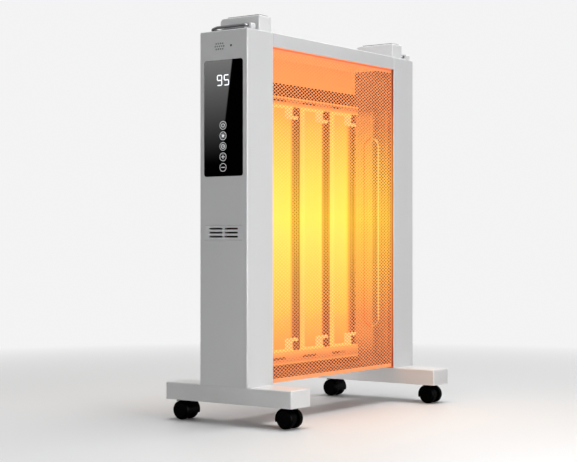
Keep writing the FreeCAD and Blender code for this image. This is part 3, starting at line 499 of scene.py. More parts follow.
@dataclass(frozen=True)
class GlowingBoard(Finish):
    """A mica heating board at heat: yellow in the middle, orange at both ends, with painted shade that darkens and
    reddens it towards its right edge.
    """

    middle: float
    fade_share: float
    half_width: float = 34 * MM
    low: float = 118 * MM
    high: float = 548 * MM
    colour: Colour = (0.10, 0.06, 0.02)
    roughness: float = 0.6
    gloss_span: float = 0.2
    heat: Stops = (
        (0.0, (0.95, 0.34, 0.035)), (0.16, (1.0, 0.70, 0.07)), (0.48, (1.0, 0.84, 0.17)),
        (0.70, (1.0, 0.83, 0.12)), (0.92, (1.0, 0.66, 0.07)), (1.0, (1.0, 0.46, 0.045)),
    )
    fade: Stops = (
        (0.0, (1.0, 1.0, 1.0)), (0.3, (1.0, 0.84, 0.2)), (0.5, (0.8, 0.36, 0.04)), (0.72, (0.26, 0.045, 0.012)),
    )
    cloud_scale: float = 14.0
    waver: float = 0.05
    band_scale: float = 60.0
    band_detail: float = 1.0
    band_stretch: Triple = (1.0, 1.0, 0.05)
    band_share: float = 0.08
    band_colour: Colour = (1.0, 0.55, 0.06)

    def sockets(self, recipe: Recipe) -> dict[str, Feed]:
        """The glowing board, with faint upright bands and painted shade towards its right edge.

        Args:
            recipe: the tree that its nodes go to.

        Returns:
            What feeds the surface shader.
        """
        cloud = recipe.noise(self.cloud_scale)
        bands = recipe.noise(self.band_scale, self.band_detail, self.band_stretch)
        heat = recipe.colours(recipe.height(self.low, self.high) + cloud.about(0.0, self.waver), self.heat)
        lit = recipe.blend(bands * self.band_share, heat, self.band_colour)
        right = self.middle + self.half_width
        # Painted shade: the glow darkens and reddens towards the board's right edge
        shaded_towards_right = recipe.axis("X").ramp_between(right - self.half_width * self.fade_share, right)
        return {
            "Base Color": self.colour,
            "Roughness": cloud.about(self.roughness, self.gloss_span),
            "Emission Color": recipe.blend(1.0, lit, recipe.colours(shaded_towards_right, self.fade), "MULTIPLY"),
            "Emission Strength": 1.0,
        }


@dataclass(frozen=True)
class SheetGrain:
    """The fine grain of the sheet metal in and around the case."""

    roughness: float = 0.5
    gloss_span: float = 0.16
    scale: float = 700.0
    depth: float = 0.02 * MM
    strength: float = 0.4

    def sockets(self, recipe: Recipe) -> dict[str, Feed]:
        """The roughness and the normal that the grain gives.

        Args:
            recipe: the tree that its nodes go to.

        Returns:
            What feeds those two inputs of the surface shader.
        """
        grain = recipe.noise(self.scale)
        return {
            "Roughness": grain.about(self.roughness, self.gloss_span),
            "Normal": recipe.bump(grain, self.depth, self.strength),
        }


@dataclass(frozen=True)
class HeatedSheet(Finish):
    """Sheet metal in or around the case, with the boards' light painted on: a base colour tinted by that light and a
    glow that changes with height.

    It may have a painted red glow margin like the columns and a painted red glow line at the top. Behind a depth it
    has a fold with its own base colour and glow: the white coat outside the rear rim, painted shade inside the front
    rim and painted light on the outer faces of the rear strands.
    """

    colour: Colour
    glow: Stops
    low: float = CASE_LOW
    high: float = CASE_HIGH
    # Painted light: a red glow margin at the sides, a fold behind a depth with its own base colour and glow, and a red
    # glow line at the top
    edge_from: float = NOWHERE
    fold: Colour = (0.0, 0.0, 0.0)
    fold_coat: Colour = (0.09, 0.022, 0.008)
    fold_from: float = NOWHERE
    fold_top: float = 640 * MM
    top_line: Colour = (0.46, 0.015, 0.0)
    top_line_from: float = NOWHERE
    shade_share: float = 0.8
    shine: float = 0.5
    cloud_scale: float = 18.0
    cloud_detail: float = 3.0
    waver: float = 0.04
    grain: SheetGrain = SheetGrain()

    def sockets(self, recipe: Recipe) -> dict[str, Feed]:
        """The sheet with its painted light: the tint and glow, the glow margin, the top glow line and the fold.

        Args:
            recipe: the tree that its nodes go to.

        Returns:
            What feeds the surface shader.
        """
        height = recipe.height(self.low, self.high)
        cloud = recipe.noise(self.cloud_scale, self.cloud_detail)
        heat = recipe.colours(height + cloud.about(0.0, self.waver), self.glow)
        # Painted light: a red glow line along the top
        heat = recipe.blend(recipe.axis("Z").above(self.top_line_from), heat, self.top_line)
        # Painted light: the columns' red glow along the side margin
        margin = recipe.reach("X").above(self.edge_from)
        heat = recipe.blend(margin, heat, recipe.colours(height, SatinPaint.glow))
        # Behind the fold depth, its own base colour and glow: white coat on the rear rim, painted shade and painted
        # light elsewhere
        behind = recipe.axis("Y").above(self.fold_from) * (1 - recipe.axis("Z").above(self.fold_top))
        coat = recipe.blend(cloud, scaled(self.colour, self.shade_share), self.colour)
        return {
            "Base Color": recipe.blend(behind, coat, self.fold_coat),
            "Emission Color": recipe.blend(behind, heat, self.fold),
            "Emission Strength": 1.0,
            "Specular IOR Level": self.shine,
            **self.grain.sockets(recipe),
        }


@dataclass(frozen=True)
class EndWall(Finish):
    """Side wall of the case with the boards' light painted on as glow: bright between the two rails, with painted
    shade in front of the boards and painted shadow outside the rails.
    """

    colour: Colour = (0.08, 0.03, 0.012)
    # Painted shadow beyond the rails and painted shade in front of the boards
    dark: Colour = (0.14, 0.058, 0.034)
    shadow: Colour = (0.05, 0.028, 0.020)
    lit: Stops = (
        (0.0, dark), (0.04, dark), (0.10, (0.70, 0.24, 0.06)), (0.30, (0.80, 0.34, 0.06)), (0.52, (0.80, 0.43, 0.08)),
        (0.72, (0.76, 0.36, 0.07)), (0.84, (0.68, 0.25, 0.06)), (0.87, dark),
    )
    front: float = -46 * MM
    rear: float = 45 * MM
    shade: Stops = (
        (0.0, grey(0.42)), (0.12, grey(0.50)), (0.20, grey(0.30)), (0.33, grey(0.26)), (0.36, grey(0.10)),
        (0.44, grey(0.14)), (0.48, grey(0.95)), (1.0, grey(0.95)),
    )
    inner: float = 196.2 * MM
    raised_middle: float = 328 * MM
    raised_straight: float = 166 * MM
    raised_radius: float = 16.5 * MM
    # A painted highlight along the front of the stadium's edge and painted shade along its rear
    line: float = 1.4 * MM
    front_line: Colour = (0.92, 0.56, 0.16)
    rear_line: Colour = (0.80, 0.13, 0.012)
    rear_line_share: float = 2.6
    grain: SheetGrain = SheetGrain()

    def sockets(self, recipe: Recipe) -> dict[str, Feed]:
        """The wall with its painted glow, and a painted highlight and painted shade along the edge of its raised
        stadium.

        Args:
            recipe: the tree that its nodes go to.

        Returns:
            What feeds the surface shader.
        """
        across = recipe.axis("Y")
        shade = recipe.colours(across.ramp_between(self.front, self.rear), self.shade)
        heat = recipe.blend(shade, self.shadow, recipe.colours(recipe.height(), self.lit))
        behind = across.above(0.0)
        along = ((recipe.axis("Z") - self.raised_middle).size() - self.raised_straight).at_least(0.0)
        off = ((across * across + along * along) ** 0.5 - self.raised_radius).size()
        widened = off / (behind * (self.rear_line_share - 1) + 1)
        outline = 1 - widened.ramp_between(self.line / 2, self.line)
        # Painted highlight on the front half of the stadium's edge, painted shade on its rear half
        heat = recipe.blend(outline, heat, recipe.blend(behind, self.front_line, self.rear_line))
        return {
            "Base Color": self.colour,
            "Emission Color": recipe.blend(recipe.reach("X").above(self.inner), heat, grey(0.0)),
            "Emission Strength": 1.0,
            **self.grain.sockets(recipe),
        }


@dataclass(frozen=True)
class BackedGlass(Finish):
    """Gloss black glass with a faint wipe haze."""

    colour: Colour = (0.0006, 0.0006, 0.0007)
    haze_share: float = 1.6
    haze_scale: float = 26.0
    haze_detail: float = 4.0
    haze_stretch: Triple = (1.0, 1.0, 0.4)
    roughness: float = 0.007
    gloss_span: float = 0.006
    bending: float = 1.5

    def sockets(self, recipe: Recipe) -> dict[str, Feed]:
        """The glass, a little duller in its haze.

        Args:
            recipe: the tree that its nodes go to.

        Returns:
            What feeds the surface shader.
        """
        haze = recipe.noise(self.haze_scale, self.haze_detail, self.haze_stretch)
        return {
            "Base Color": recipe.blend(haze, self.colour, scaled(self.colour, self.haze_share)),
            "Roughness": haze.about(self.roughness, self.gloss_span),
            "IOR": self.bending,
        }


@dataclass(frozen=True)
class LitMark(Finish):
    """A white light-guide mark, a little uneven as such marks are."""

    colour: Colour = (0.92, 0.95, 1.0)
    strength: float = 1.0
    dim_share: float = 0.8
    cloud_scale: float = 240.0
    roughness: float = 0.4
    gloss_span: float = 0.2

    def sockets(self, recipe: Recipe) -> dict[str, Feed]:
        """The lit mark.

        Args:
            recipe: the tree that its nodes go to.

        Returns:
            What feeds the surface shader.
        """
        cloud = recipe.noise(self.cloud_scale)
        lit = recipe.blend(cloud, scaled(self.colour, self.dim_share), self.colour)
        return {
            "Base Color": lit,
            "Roughness": cloud.about(self.roughness, self.gloss_span),
            "Emission Color": lit,
            "Emission Strength": self.strength,
        }


@dataclass(frozen=True)
class CircuitLaminate(Finish):
    """Circuit board with lighter copper tracks under the lacquer and bare pads."""

    colour: Colour = (0.012, 0.09, 0.035)
    track: Colour = (0.05, 0.22, 0.08)
    pad: Colour = (0.62, 0.60, 0.55)
    track_scale: float = 260.0
    track_from: float = 0.45
    track_depth: float = 0.03 * MM
    track_strength: float = 0.5
    pad_scale: float = 420.0
    pad_reach: float = 0.18
    roughness: float = 0.4
    pad_gloss: float = 0.15

    def sockets(self, recipe: Recipe) -> dict[str, Feed]:
        """The laminate with its tracks and pads.

        Args:
            recipe: the tree that its nodes go to.

        Returns:
            What feeds the surface shader.
        """
        tracks = recipe.cells(self.track_scale).above(self.track_from)
        pads = 1 - recipe.cells(self.pad_scale).above(self.pad_reach)
        return {
            "Base Color": recipe.blend(pads, recipe.blend(tracks, self.colour, self.track), self.pad),
            "Roughness": self.roughness - pads * self.pad_gloss,
            "Normal": recipe.bump(tracks, self.track_depth, self.track_strength),
        }


@dataclass(frozen=True)
class WovenSleeve(Finish):
    """Glass-fibre braid over the leads."""

    colour: Colour = (0.66, 0.56, 0.42)
    shade_share: float = 0.55
    band_scale: float = 70.0
    turn: float = 0.6
    roughness: float = 0.75
    crown_gloss: float = 0.1
    weave_depth: float = 0.15 * MM
    weave_strength: float = 0.7

    def bands(self, recipe: Recipe, turn: float) -> Wire:
        """The crowns of the strands that run one way.

        Args:
            recipe: the tree that their nodes go to.
            turn: how far they are turned about X and Y, in radians.

        Returns:
            1 on the crowns, 0 between them.
        """
        point = recipe.node("ShaderNodeMapping", inputs={"Vector": recipe.place(), "Rotation": (turn, turn, 0.0)})
        band = recipe.node("ShaderNodeTexWave", inputs={"Vector": point.outputs[0], "Scale": self.band_scale})
        return Wire(recipe, band.outputs["Fac"])

    def sockets(self, recipe: Recipe) -> dict[str, Feed]:
        """The braid, woven from strands that run two ways.

        Args:
            recipe: the tree that its nodes go to.

        Returns:
            What feeds the surface shader.
        """
        weave = self.bands(recipe, self.turn) * self.bands(recipe, -self.turn)
        return {
            "Base Color": recipe.blend(weave, scaled(self.colour, self.shade_share), self.colour),
            "Roughness": self.roughness - weave * self.crown_gloss,
            "Normal": recipe.bump(weave, self.weave_depth, self.weave_strength),
        }


# Modelling moves

class Bench:
    """Modelling moves that the pieces share."""

    @staticmethod
    def clear() -> None:
        """Leaves edit mode and drops the whole selection."""
        active = bpy.context.view_layer.objects.active
        if active is not None and active.mode != "OBJECT":
            bpy.ops.object.mode_set(mode="OBJECT")
        bpy.ops.object.select_all(action="DESELECT")

    @staticmethod
    def pick(*pieces: bpy.types.Object) -> None:
        """Selects pieces and nothing else.

        Args:
            pieces: the pieces, of which the first becomes the active one.
        """
        Bench.clear()
        for piece in pieces:
            piece.select_set(True)
        bpy.context.view_layer.objects.active = pieces[0]

    @staticmethod
    def named(name: str) -> bpy.types.Object:
        """Names the active piece and puts its place into its mesh.

        Args:
            name: the name of the object and of its mesh.

        Returns:
            The piece.
        """
        piece = bpy.context.view_layer.objects.active
        piece.name = name
        piece.data.name = name
        bpy.ops.object.transform_apply(location=True, rotation=True, scale=True)
        return piece

    @staticmethod
    def block(name: str, low: Vector, high: Vector, turn: Triple = (0.0, 0.0, 0.0)) -> bpy.types.Object:
        """Adds a block between two corners.

        Args:
            name: the piece's name.
            low: lowest corner in metres.
            high: highest corner in metres.
            turn: rotation about the block's middle, in radians.

        Returns:
            The block.
        """
        Bench.clear()
        bpy.ops.mesh.primitive_cube_add(size=1.0, location=(low + high) / 2, rotation=turn, scale=high - low)
        return Bench.named(name)

    @staticmethod
    def edit(piece: bpy.types.Object, faces: Optional[Callable[[Vector, Vector], bool]] = None,
             edges: Optional[Callable[[Vector, Vector], bool]] = None) -> None:
        """Opens a piece for editing, with all of it selected or only some faces or edges.

        Args:
            piece: the piece to edit.
            faces: test on a face's middle and normal.
            edges: test on an edge's two ends.
        """
        Bench.pick(piece)
        mesh = piece.data
        for group in (mesh.vertices, mesh.edges, mesh.polygons):
            group.foreach_set("select", [False] * len(group))
        if faces is not None:
            bpy.context.tool_settings.mesh_select_mode = (False, False, True)
            for face in mesh.polygons:
                face.select = faces(face.center, face.normal)
        if edges is not None:
            bpy.context.tool_settings.mesh_select_mode = (False, True, False)
            for edge in mesh.edges:
                edge.select = edges(*(mesh.vertices[corner].co for corner in edge.vertices))
        bpy.ops.object.mode_set(mode="EDIT")
        if faces is None and edges is None:
            bpy.ops.mesh.select_all(action="SELECT")

    @staticmethod
    def modify(piece: bpy.types.Object, kind: str, **settings: Any) -> None:
        """Adds a modifier and applies it.

        Args:
            piece: the piece that it changes.
            kind: the modifier's type name.
            settings: its properties.
        """
        Bench.pick(piece)
        step = piece.modifiers.new(kind.lower(), kind)
        for name, value in settings.items():
            setattr(step, name, value)
        bpy.ops.object.modifier_apply(modifier=step.name)

    @staticmethod
    def join(name: str, pieces: list[bpy.types.Object]) -> bpy.types.Object:
        """Joins pieces into one mesh.

        Args:
            name: the name of the whole.
            pieces: what is joined.

        Returns:
            The whole.
        """
        Bench.pick(*pieces)
        bpy.ops.object.join()
        return Bench.named(name)

    @staticmethod
    def cut_away(piece: bpy.types.Object, point: Vector, outward: Vector) -> None:
        """Cuts a piece at a plane and closes the cut.

        Args:
            piece: the piece.
            point: a point of the plane.
            outward: the plane's direction, on whose side all is dropped.
        """
        Bench.edit(piece)
        bpy.ops.mesh.bisect(plane_co=point, plane_no=outward, use_fill=True, clear_outer=True)
        Bench.clear()

    @staticmethod
    def finish(piece: bpy.types.Object, material: bpy.types.Material, body: str, slot: str) -> None:
        """Dresses a piece and hangs it on its body.

        Args:
            piece: the finished mesh.
            material: its finish.
            body: the body that it moves with.
            slot: the record's material slot; not used.
        """
        piece.data.materials.clear()
        piece.data.materials.append(material)
        Bench.pick(piece)
        bpy.ops.object.shade_smooth_by_angle(angle=SMOOTH_BELOW)
        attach(piece, body)
        LOG.info("%s: %d faces on %s", piece.name, len(piece.data.polygons), body)


# Grilles

@dataclass
class GrillePanel:
    """A folded sheet rim with a field of crossing flat strands, in the place of a coarse grille solid.

    A tilt turns the strands on edge, as those of stretched sheet are, so that they screen what lies behind. An outer
    finish is for the strands' faces that look outwards.
    """

    node: str
    side: Side
    wire_width: float
    pitch_up: float
    rim_finish: Finish
    wire_finish: Finish
    outer_finish: Optional[Finish] = None
    slope: float = math.radians(30)
    tilt: float = 0.0
    wire_sides: int = 6
    wire_depth: float = 0.6 * MM
    weld_depth: float = 0.1 * MM
    sheet: float = 1.0 * MM
    rim_margin: float = 7.0 * MM
    top_margin: float = 7.0 * MM
    side_margin: float = 1.4 * MM
    tuck: float = 2.0 * MM
    fold_radius: float = 0.8 * MM
    fold_steps: int = 2
    fold_angle: float = math.radians(60)

    def __post_init__(self) -> None:
        """Reads the panel's place from the frame."""
        self.low, self.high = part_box(self.node)
        self.outer_y = self.low.y if self.side is Side.FRONT else self.high.y

    def rim(self) -> bpy.types.Object:
        """The sheet frame with its flange folded inwards all round.

        Returns:
            The rim.
        """
        rim = Bench.block(f"{self.node}_rim", self.low, self.high)
        facing = self.side.value
        Bench.edit(rim, faces=lambda middle, normal: normal.y * facing < -FACING)
        bpy.ops.mesh.delete(type="FACE")
        Bench.edit(rim, faces=lambda middle, normal: normal.y * facing > FACING)
        bpy.ops.mesh.inset(thickness=self.rim_margin)
        field_top = self.high.z - self.rim_margin
        Bench.edit(rim, edges=lambda one, two: min(one.z, two.z) > field_top - self.tuck
                   and max(one.z, two.z) < self.high.z - self.tuck)
        bpy.ops.transform.translate(value=(0, 0, self.rim_margin - self.top_margin))
        inner = self.high.x - self.rim_margin
        for side in (-1, 1):
            Bench.edit(rim, edges=lambda one, two: max(abs(end.x - side * inner) for end in (one, two)) < self.sheet)
            bpy.ops.transform.translate(value=(side * (self.rim_margin - self.side_margin), 0, 0))
        centre = (self.low.z + self.high.z) / 2
        Bench.edit(rim, faces=lambda middle, normal: normal.y * facing > FACING and abs(middle.x) < self.tuck
                   and abs(middle.z - centre) < self.top_margin)
        bpy.ops.mesh.delete(type="FACE")
        Bench.modify(rim, "SOLIDIFY", thickness=self.sheet, offset=-1.0)
        Bench.modify(rim, "BEVEL", width=self.fold_radius, segments=self.fold_steps, limit_method="ANGLE",
                     angle_limit=self.fold_angle)
        return rim

    def wires(self) -> bpy.types.Object:
        """Two welded layers of flat strands that cross on the slant, cut to the rim's opening.

        Returns:
            The field of strands.
        """
        left = self.low.x + self.side_margin - self.sheet
        right = self.high.x - self.side_margin + self.sheet
        bottom = self.low.z + self.rim_margin - self.tuck
        top = self.high.z - self.top_margin + self.tuck
        rise = (right - left) * math.tan(self.slope)
        length = (right - left) / math.cos(self.slope) + self.rim_margin
        count = math.ceil((top - bottom + rise) / self.pitch_up)
        reach = self.wire_width * math.sin(self.tilt) + self.wire_depth * math.cos(self.tilt)
        layers = []
        for number, turn in enumerate((self.slope, -self.slope)):
            deep = self.sheet + reach / 2 + number * (self.wire_depth - self.weld_depth)
            Bench.clear()
            bpy.ops.mesh.primitive_cylinder_add(vertices=self.wire_sides, radius=0.5, depth=length,
                                                rotation=(0, 0, self.tilt),
                                                scale=(self.wire_width, self.wire_depth, 1.0))
            layer = Bench.named(f"{self.node}_layer")
            layer.rotation_euler = (0, QUARTER + turn, 0)
            layer.location = ((left + right) / 2, self.outer_y - self.side.value * deep, bottom - rise / 2)
            bpy.ops.object.transform_apply(location=True, rotation=True, scale=True)
            Bench.modify(layer, "ARRAY", count=count, use_relative_offset=False, use_constant_offset=True,
                         constant_offset_displace=(0, 0, self.pitch_up))
            layers.append(layer)
        field = Bench.join(f"{self.node}_wires", layers)
        middle = Vector(((left + right) / 2, self.outer_y, (bottom + top) / 2))
        for axis, ends in ((0, (left, right)), (2, (bottom, top))):
            for place, sign in zip(ends, (-1, 1)):
                point, outward = middle.copy(), Vector()
                point[axis], outward[axis] = place, sign
                Bench.cut_away(field, point, outward)
        return field

    def build(self) -> None:
        """Makes both pieces, dresses them and hides the coarse solid."""
        rim, field = self.rim(), self.wires()
        for piece, finish in ((rim, self.rim_finish), (field, self.wire_finish)):
            Bench.finish(piece, finish.material(), "case", "grille_mesh")
            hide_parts(self.node)
        if self.outer_finish is not None:
            field.data.materials.append(self.outer_finish.material())
            for face in field.data.polygons:
                face.material_index = int(face.normal.y * self.side.value > 0.0)


@dataclass
class FrontGrille(GrillePanel):
    """The fine mesh in front of the boards, with their light painted on its rim and strands as an orange tint and
    glow.
    """

    node: str = "front_grille"
    side: Side = Side.FRONT
    wire_width: float = 1.6 * MM
    pitch_up: float = 6.2 * MM
    # Painted light on the rim: the boards' glow, a red glow margin and top line, with painted shade on its inner fold
    rim_finish: Finish = HeatedSheet(
        "front_rim_painted_glow", (0.62, 0.25, 0.11), peak((0.55, 0.19, 0.06), (0.55, 0.22, 0.05)), edge_from=194.0 * MM,
        fold=(0.09, 0.022, 0.008), fold_from=-44.9 * MM, top_line_from=638.8 * MM)
    # Painted light: the strands' orange base and glow stand in for the boards' light on them
    wire_finish: Finish = HeatedSheet(
        "front_wire_painted_glow", (0.80, 0.30, 0.09), (
            (0.0, (0.49, 0.140, 0.070)), (0.18, (0.51, 0.148, 0.060)), (0.5, (0.96, 0.68, 0.026)),
            (0.80, (0.54, 0.165, 0.064)), (1.0, (0.58, 0.192, 0.088))),
        shine=0.2)


@dataclass
class RearGrille(GrillePanel):
    """The coarser mesh at the back, with its strands turned on edge and a high band above them, with the boards' light
    and shade painted on both.
    """

    node: str = "rear_grille"
    side: Side = Side.REAR
    wire_width: float = 11.5 * MM
    pitch_up: float = 9.0 * MM
    # Painted light: the high band glows orange and the rest of the inside is dark as painted shade; the outside has a
    # white coat
    rim_finish: Finish = HeatedSheet(
        "rear_rim_coat_and_painted_glow", (0.30, 0.12, 0.05), (
            (0.0, (0.06, 0.01, 0.004)), (0.88, (0.06, 0.01, 0.004)), (0.89, (0.74, 0.32, 0.06)),
            (1.0, (0.66, 0.24, 0.06))),
        fold_coat=(0.70, 0.705, 0.71), fold_from=45.5 * MM, fold_top=NOWHERE)
    # Painted shade and glow: the strands' inner faces are near black with a weak glow
    wire_finish: Finish = HeatedSheet(
        "rear_wire_painted_shade_and_glow", (0.002, 0.001, 0.001), peak((0.06, 0.008, 0.003), (0.16, 0.05, 0.004)), shine=0.0)
    # Painted light: the strands' outer faces glow orange, most at their outer edge
    outer_finish: Optional[Finish] = HeatedSheet(
        "rear_wire_outer_painted_glow", (0.06, 0.018, 0.008), peak((0.06, 0.010, 0.003), (0.12, 0.03, 0.004)),
        fold=(0.60, 0.20, 0.05), fold_coat=(0.70, 0.28, 0.09), fold_from=42.9 * MM, fold_top=NOWHERE, shine=0.2)
    tilt: float = math.radians(50)
    wire_sides: int = 4
    top_margin: float = 46 * MM


# Marks and painted-shade rings on the control column

@dataclass
class FaceMarks:
    """Thin raised marks on the outer face of the control column.

    Places are given to the right, as seen from outside, and upwards, in metres.
    """

    face_node: str
    proud: float = 0.12 * MM
    bar_round_share: float = 0.42
    bar_round_steps: int = 3
    ring_sides: int = 48
    disc_sides: int = 24
    disc_inset_share: float = 0.2

    def __post_init__(self) -> None:
        """Reads the face's place from the frame."""
        self.face_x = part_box(self.face_node)[0].x

    def bar(self, right: float, up: float, length: float, width: float, turn: float = 0.0) -> bpy.types.Object:
        """A flat round-ended bar.

        Args:
            right: place of its middle to the right.
            up: height of its middle.
            length: how long it is, level when turn is 0.
            width: how wide it is.
            turn: how far it is turned, anticlockwise as seen from outside.

        Returns:
            The bar.
        """
        half = Vector((self.proud, length, width)) / 2
        middle = Vector((self.face_x - self.proud / 2, -right, up))
        bar = Bench.block("bar", middle - half, middle + half, (-turn, 0, 0))
        Bench.edit(bar, edges=lambda one, two: abs(one.x - two.x) > self.proud / 2)
        bpy.ops.mesh.bevel(offset=width * self.bar_round_share, segments=self.bar_round_steps)
        Bench.clear()
        return bar

    def blank(self, name: str, right: float, up: float, radius: float, sides: int) -> bpy.types.Object:
        """A flat round blank, open for editing as a whole.

        Args:
            name: the piece's name.
            right: place of its middle to the right.
            up: height of its middle.
            radius: its radius.
            sides: how many sides it has.

        Returns:
            The blank.
        """
        Bench.clear()
        bpy.ops.mesh.primitive_circle_add(vertices=sides, radius=radius, fill_type="NGON",
                                          location=(self.face_x, -right, up), rotation=(0, -QUARTER, 0))
        blank = Bench.named(name)
        Bench.edit(blank)
        return blank

    def ring(self, right: float, up: float, radius: float, line: float, gap: float = 0.0) -> bpy.types.Object:
        """A thin ring, which may be open at its top.

        Args:
            right: place of its middle to the right.
            up: height of its middle.
            radius: outer radius.
            line: width of its line.
            gap: half of the angle left open.

        Returns:
            The ring.
        """
        ring = self.blank("ring", right, up, radius, self.ring_sides)
        bpy.ops.mesh.inset(thickness=line)
        bpy.ops.mesh.delete(type="FACE")
        if gap:
            Bench.edit(ring, faces=lambda place, normal: abs(math.atan2(place.y + right, place.z - up)) < gap)
            bpy.ops.mesh.delete(type="FACE")
        Bench.modify(ring, "SOLIDIFY", thickness=self.proud, offset=1.0)
        return ring

    def disc(self, right: float, up: float, radius: float) -> bpy.types.Object:
        """A small raised disc.

        Args:
            right: place of its middle to the right.
            up: height of its middle.
            radius: its radius.

        Returns:
            The disc.
        """
        disc = self.blank("disc", right, up, radius, self.disc_sides)
        bpy.ops.mesh.extrude_region_move(TRANSFORM_OT_translate={"value": (-self.proud, 0, 0)})
        bpy.ops.mesh.inset(thickness=radius * self.disc_inset_share)
        Bench.clear()
        return disc


@dataclass
class SoundLiners(FaceMarks):
    """A black ring in each of the sound holes, as painted shade in the hole."""

    face_node: str = "left_column_shell"
    right: float = -8.2 * MM
    up: float = 639 * MM
    pitch: float = 4.6 * MM
    rows: tuple[int, ...] = (4, 5, 4)
    radius: float = 1.3 * MM
    line: float = 0.5 * MM
    liner_finish: Finish = MouldedPlastic("sound_hole_shade_black", (0.02, 0.02, 0.022), roughness=0.6, shine=0.1)

    def build(self) -> None:
        """Makes all the shade rings as one piece and dresses it."""
        # Painted shade: black rings that darken the sound holes
        shade_rings = []
        for row, count in enumerate(self.rows):
            up = self.up + self.pitch * (row - (len(self.rows) - 1) / 2)
            for place in range(count):
                right = self.right + self.pitch * (place - (count - 1) / 2)
                shade_rings.append(self.ring(right, up, self.radius, self.line))
        Bench.finish(Bench.join("sound_hole_shade_rings", shade_rings), self.liner_finish.material(), "case", "black_plastic")


@dataclass(frozen=True)
class Stroke:
    """One bar of a key's sign, in shares of the sign's radius."""

    right: float
    up: float
    length: float
    turn: float = 0.0

    @classmethod
    def ray(cls, turn: float, middle: float, length: float) -> "Stroke":
        """A bar that points away from the sign's middle."""
        return cls(middle * math.cos(turn), middle * math.sin(turn), length, turn)


@dataclass
class TouchMarks(FaceMarks):
    """The lit digits and keys of the touch glass."""

    face_node: str = "touch_glass"
    digit_height: float = 18.6 * MM
    digit_width: float = 11.2 * MM
    digit_step: float = 14.8 * MM
    digit_right: float = -0.65 * MM
    digit_up: float = 581.5 * MM
    segment_width: float = 1.85 * MM
    segment_gap: float = 0.35 * MM
    key_right: float = -0.6 * MM
    key_top: float = 505.5 * MM
    key_step: float = 17.7 * MM
    ring_radius: float = 7.0 * MM
    ring_line: float = 0.6 * MM
    sign_radius: float = 3.5 * MM
    sign_line: float = 0.85 * MM
    power_gap: float = math.radians(40)
    clock_share: float = 1.1
    sun_share: float = 0.62
    digit_light: Finish = LitMark("digit_light", strength=1.1)
    key_light: Finish = LitMark("key_light", (0.80, 0.82, 0.84), strength=0.72)

    def digit(self, name: str, right: float, lit: str) -> bpy.types.Object:
        """One seven-segment digit.

        Args:
            name: the piece's name.
            right: place of its middle to the right.
            lit: letters of the lit segments, a at the top, clockwise to f, and g in the middle.

        Returns:
            The digit.
        """
        reach = (self.digit_width - self.segment_width) / 2
        rise = (self.digit_height - self.segment_width) / 2
        level = self.digit_width - self.segment_width - self.segment_gap * 2
        upright = rise - self.segment_gap * 2
        places = {
            "a": (0.0, rise, level, 0.0), "d": (0.0, -rise, level, 0.0), "g": (0.0, 0.0, level, 0.0),
            "b": (reach, rise / 2, upright, QUARTER), "c": (reach, -rise / 2, upright, QUARTER),
            "e": (-reach, -rise / 2, upright, QUARTER), "f": (-reach, rise / 2, upright, QUARTER),
        }
        bars = []
        for across, above, length, turn in (places[letter] for letter in lit):
            bars.append(self.bar(right + across, self.digit_up + above, length, self.segment_width, turn))
        return Bench.join(name, bars)

    @staticmethod
    def strokes(sign: KeySign) -> list[Stroke]:
        """The straight bars of a key's sign.

        Args:
            sign: what is drawn in the ring.

        Returns:
            Its bars.
        """
        level, upright = Stroke(0.0, 0.0, 2.3), Stroke(0.0, 0.0, 2.3, QUARTER)
        return {
            KeySign.POWER: [Stroke(0.0, 0.75, 0.9, QUARTER)],
            KeySign.SUN: [Stroke.ray(step * QUARTER / 2, 0.95, 0.4) for step in range(8)],
            KeySign.CLOCK: [Stroke(0.0, 0.3, 0.7, QUARTER), Stroke(0.25, 0.0, 0.6)],
            KeySign.PLUS: [level, upright],
            KeySign.MINUS: [level],
        }[sign]

    def key(self, sign: KeySign, up: float) -> bpy.types.Object:
        """One key: its ring and the sign inside it.

        Args:
            sign: what is drawn in the ring.
            up: height of its middle.

        Returns:
            The key's mark.
        """
        right, line, inner = self.key_right, self.sign_line, self.sign_radius
        marks = [self.ring(right, up, self.ring_radius, self.ring_line)]
        if sign is KeySign.POWER:
            marks.append(self.ring(right, up, inner, line, self.power_gap))
        elif sign is KeySign.SUN:
            marks.append(self.disc(right, up, inner * self.sun_share))
        elif sign is KeySign.CLOCK:
            marks.append(self.ring(right, up, inner * self.clock_share, line))
        for bar in self.strokes(sign):
            marks.append(self.bar(right + inner * bar.right, up + inner * bar.up, inner * bar.length, line, bar.turn))
        return Bench.join(f"key_{sign.value}", marks)

    def build(self) -> None:
        """Makes the two digits and the five keys and dresses them."""
        bright, plain = self.digit_light.material(), self.key_light.material()
        pieces = [
            (self.digit("digit_tens", self.digit_right - self.digit_step / 2, "abcdfg"), bright),
            (self.digit("digit_units", self.digit_right + self.digit_step / 2, "acdfg"), bright),
        ]
        for number, sign in enumerate(KeySign):
            pieces.append((self.key(sign, self.key_top - number * self.key_step), plain))
        for piece, material in pieces:
            Bench.finish(piece, material, "case", "lit_marks")


# Finishes of the solids

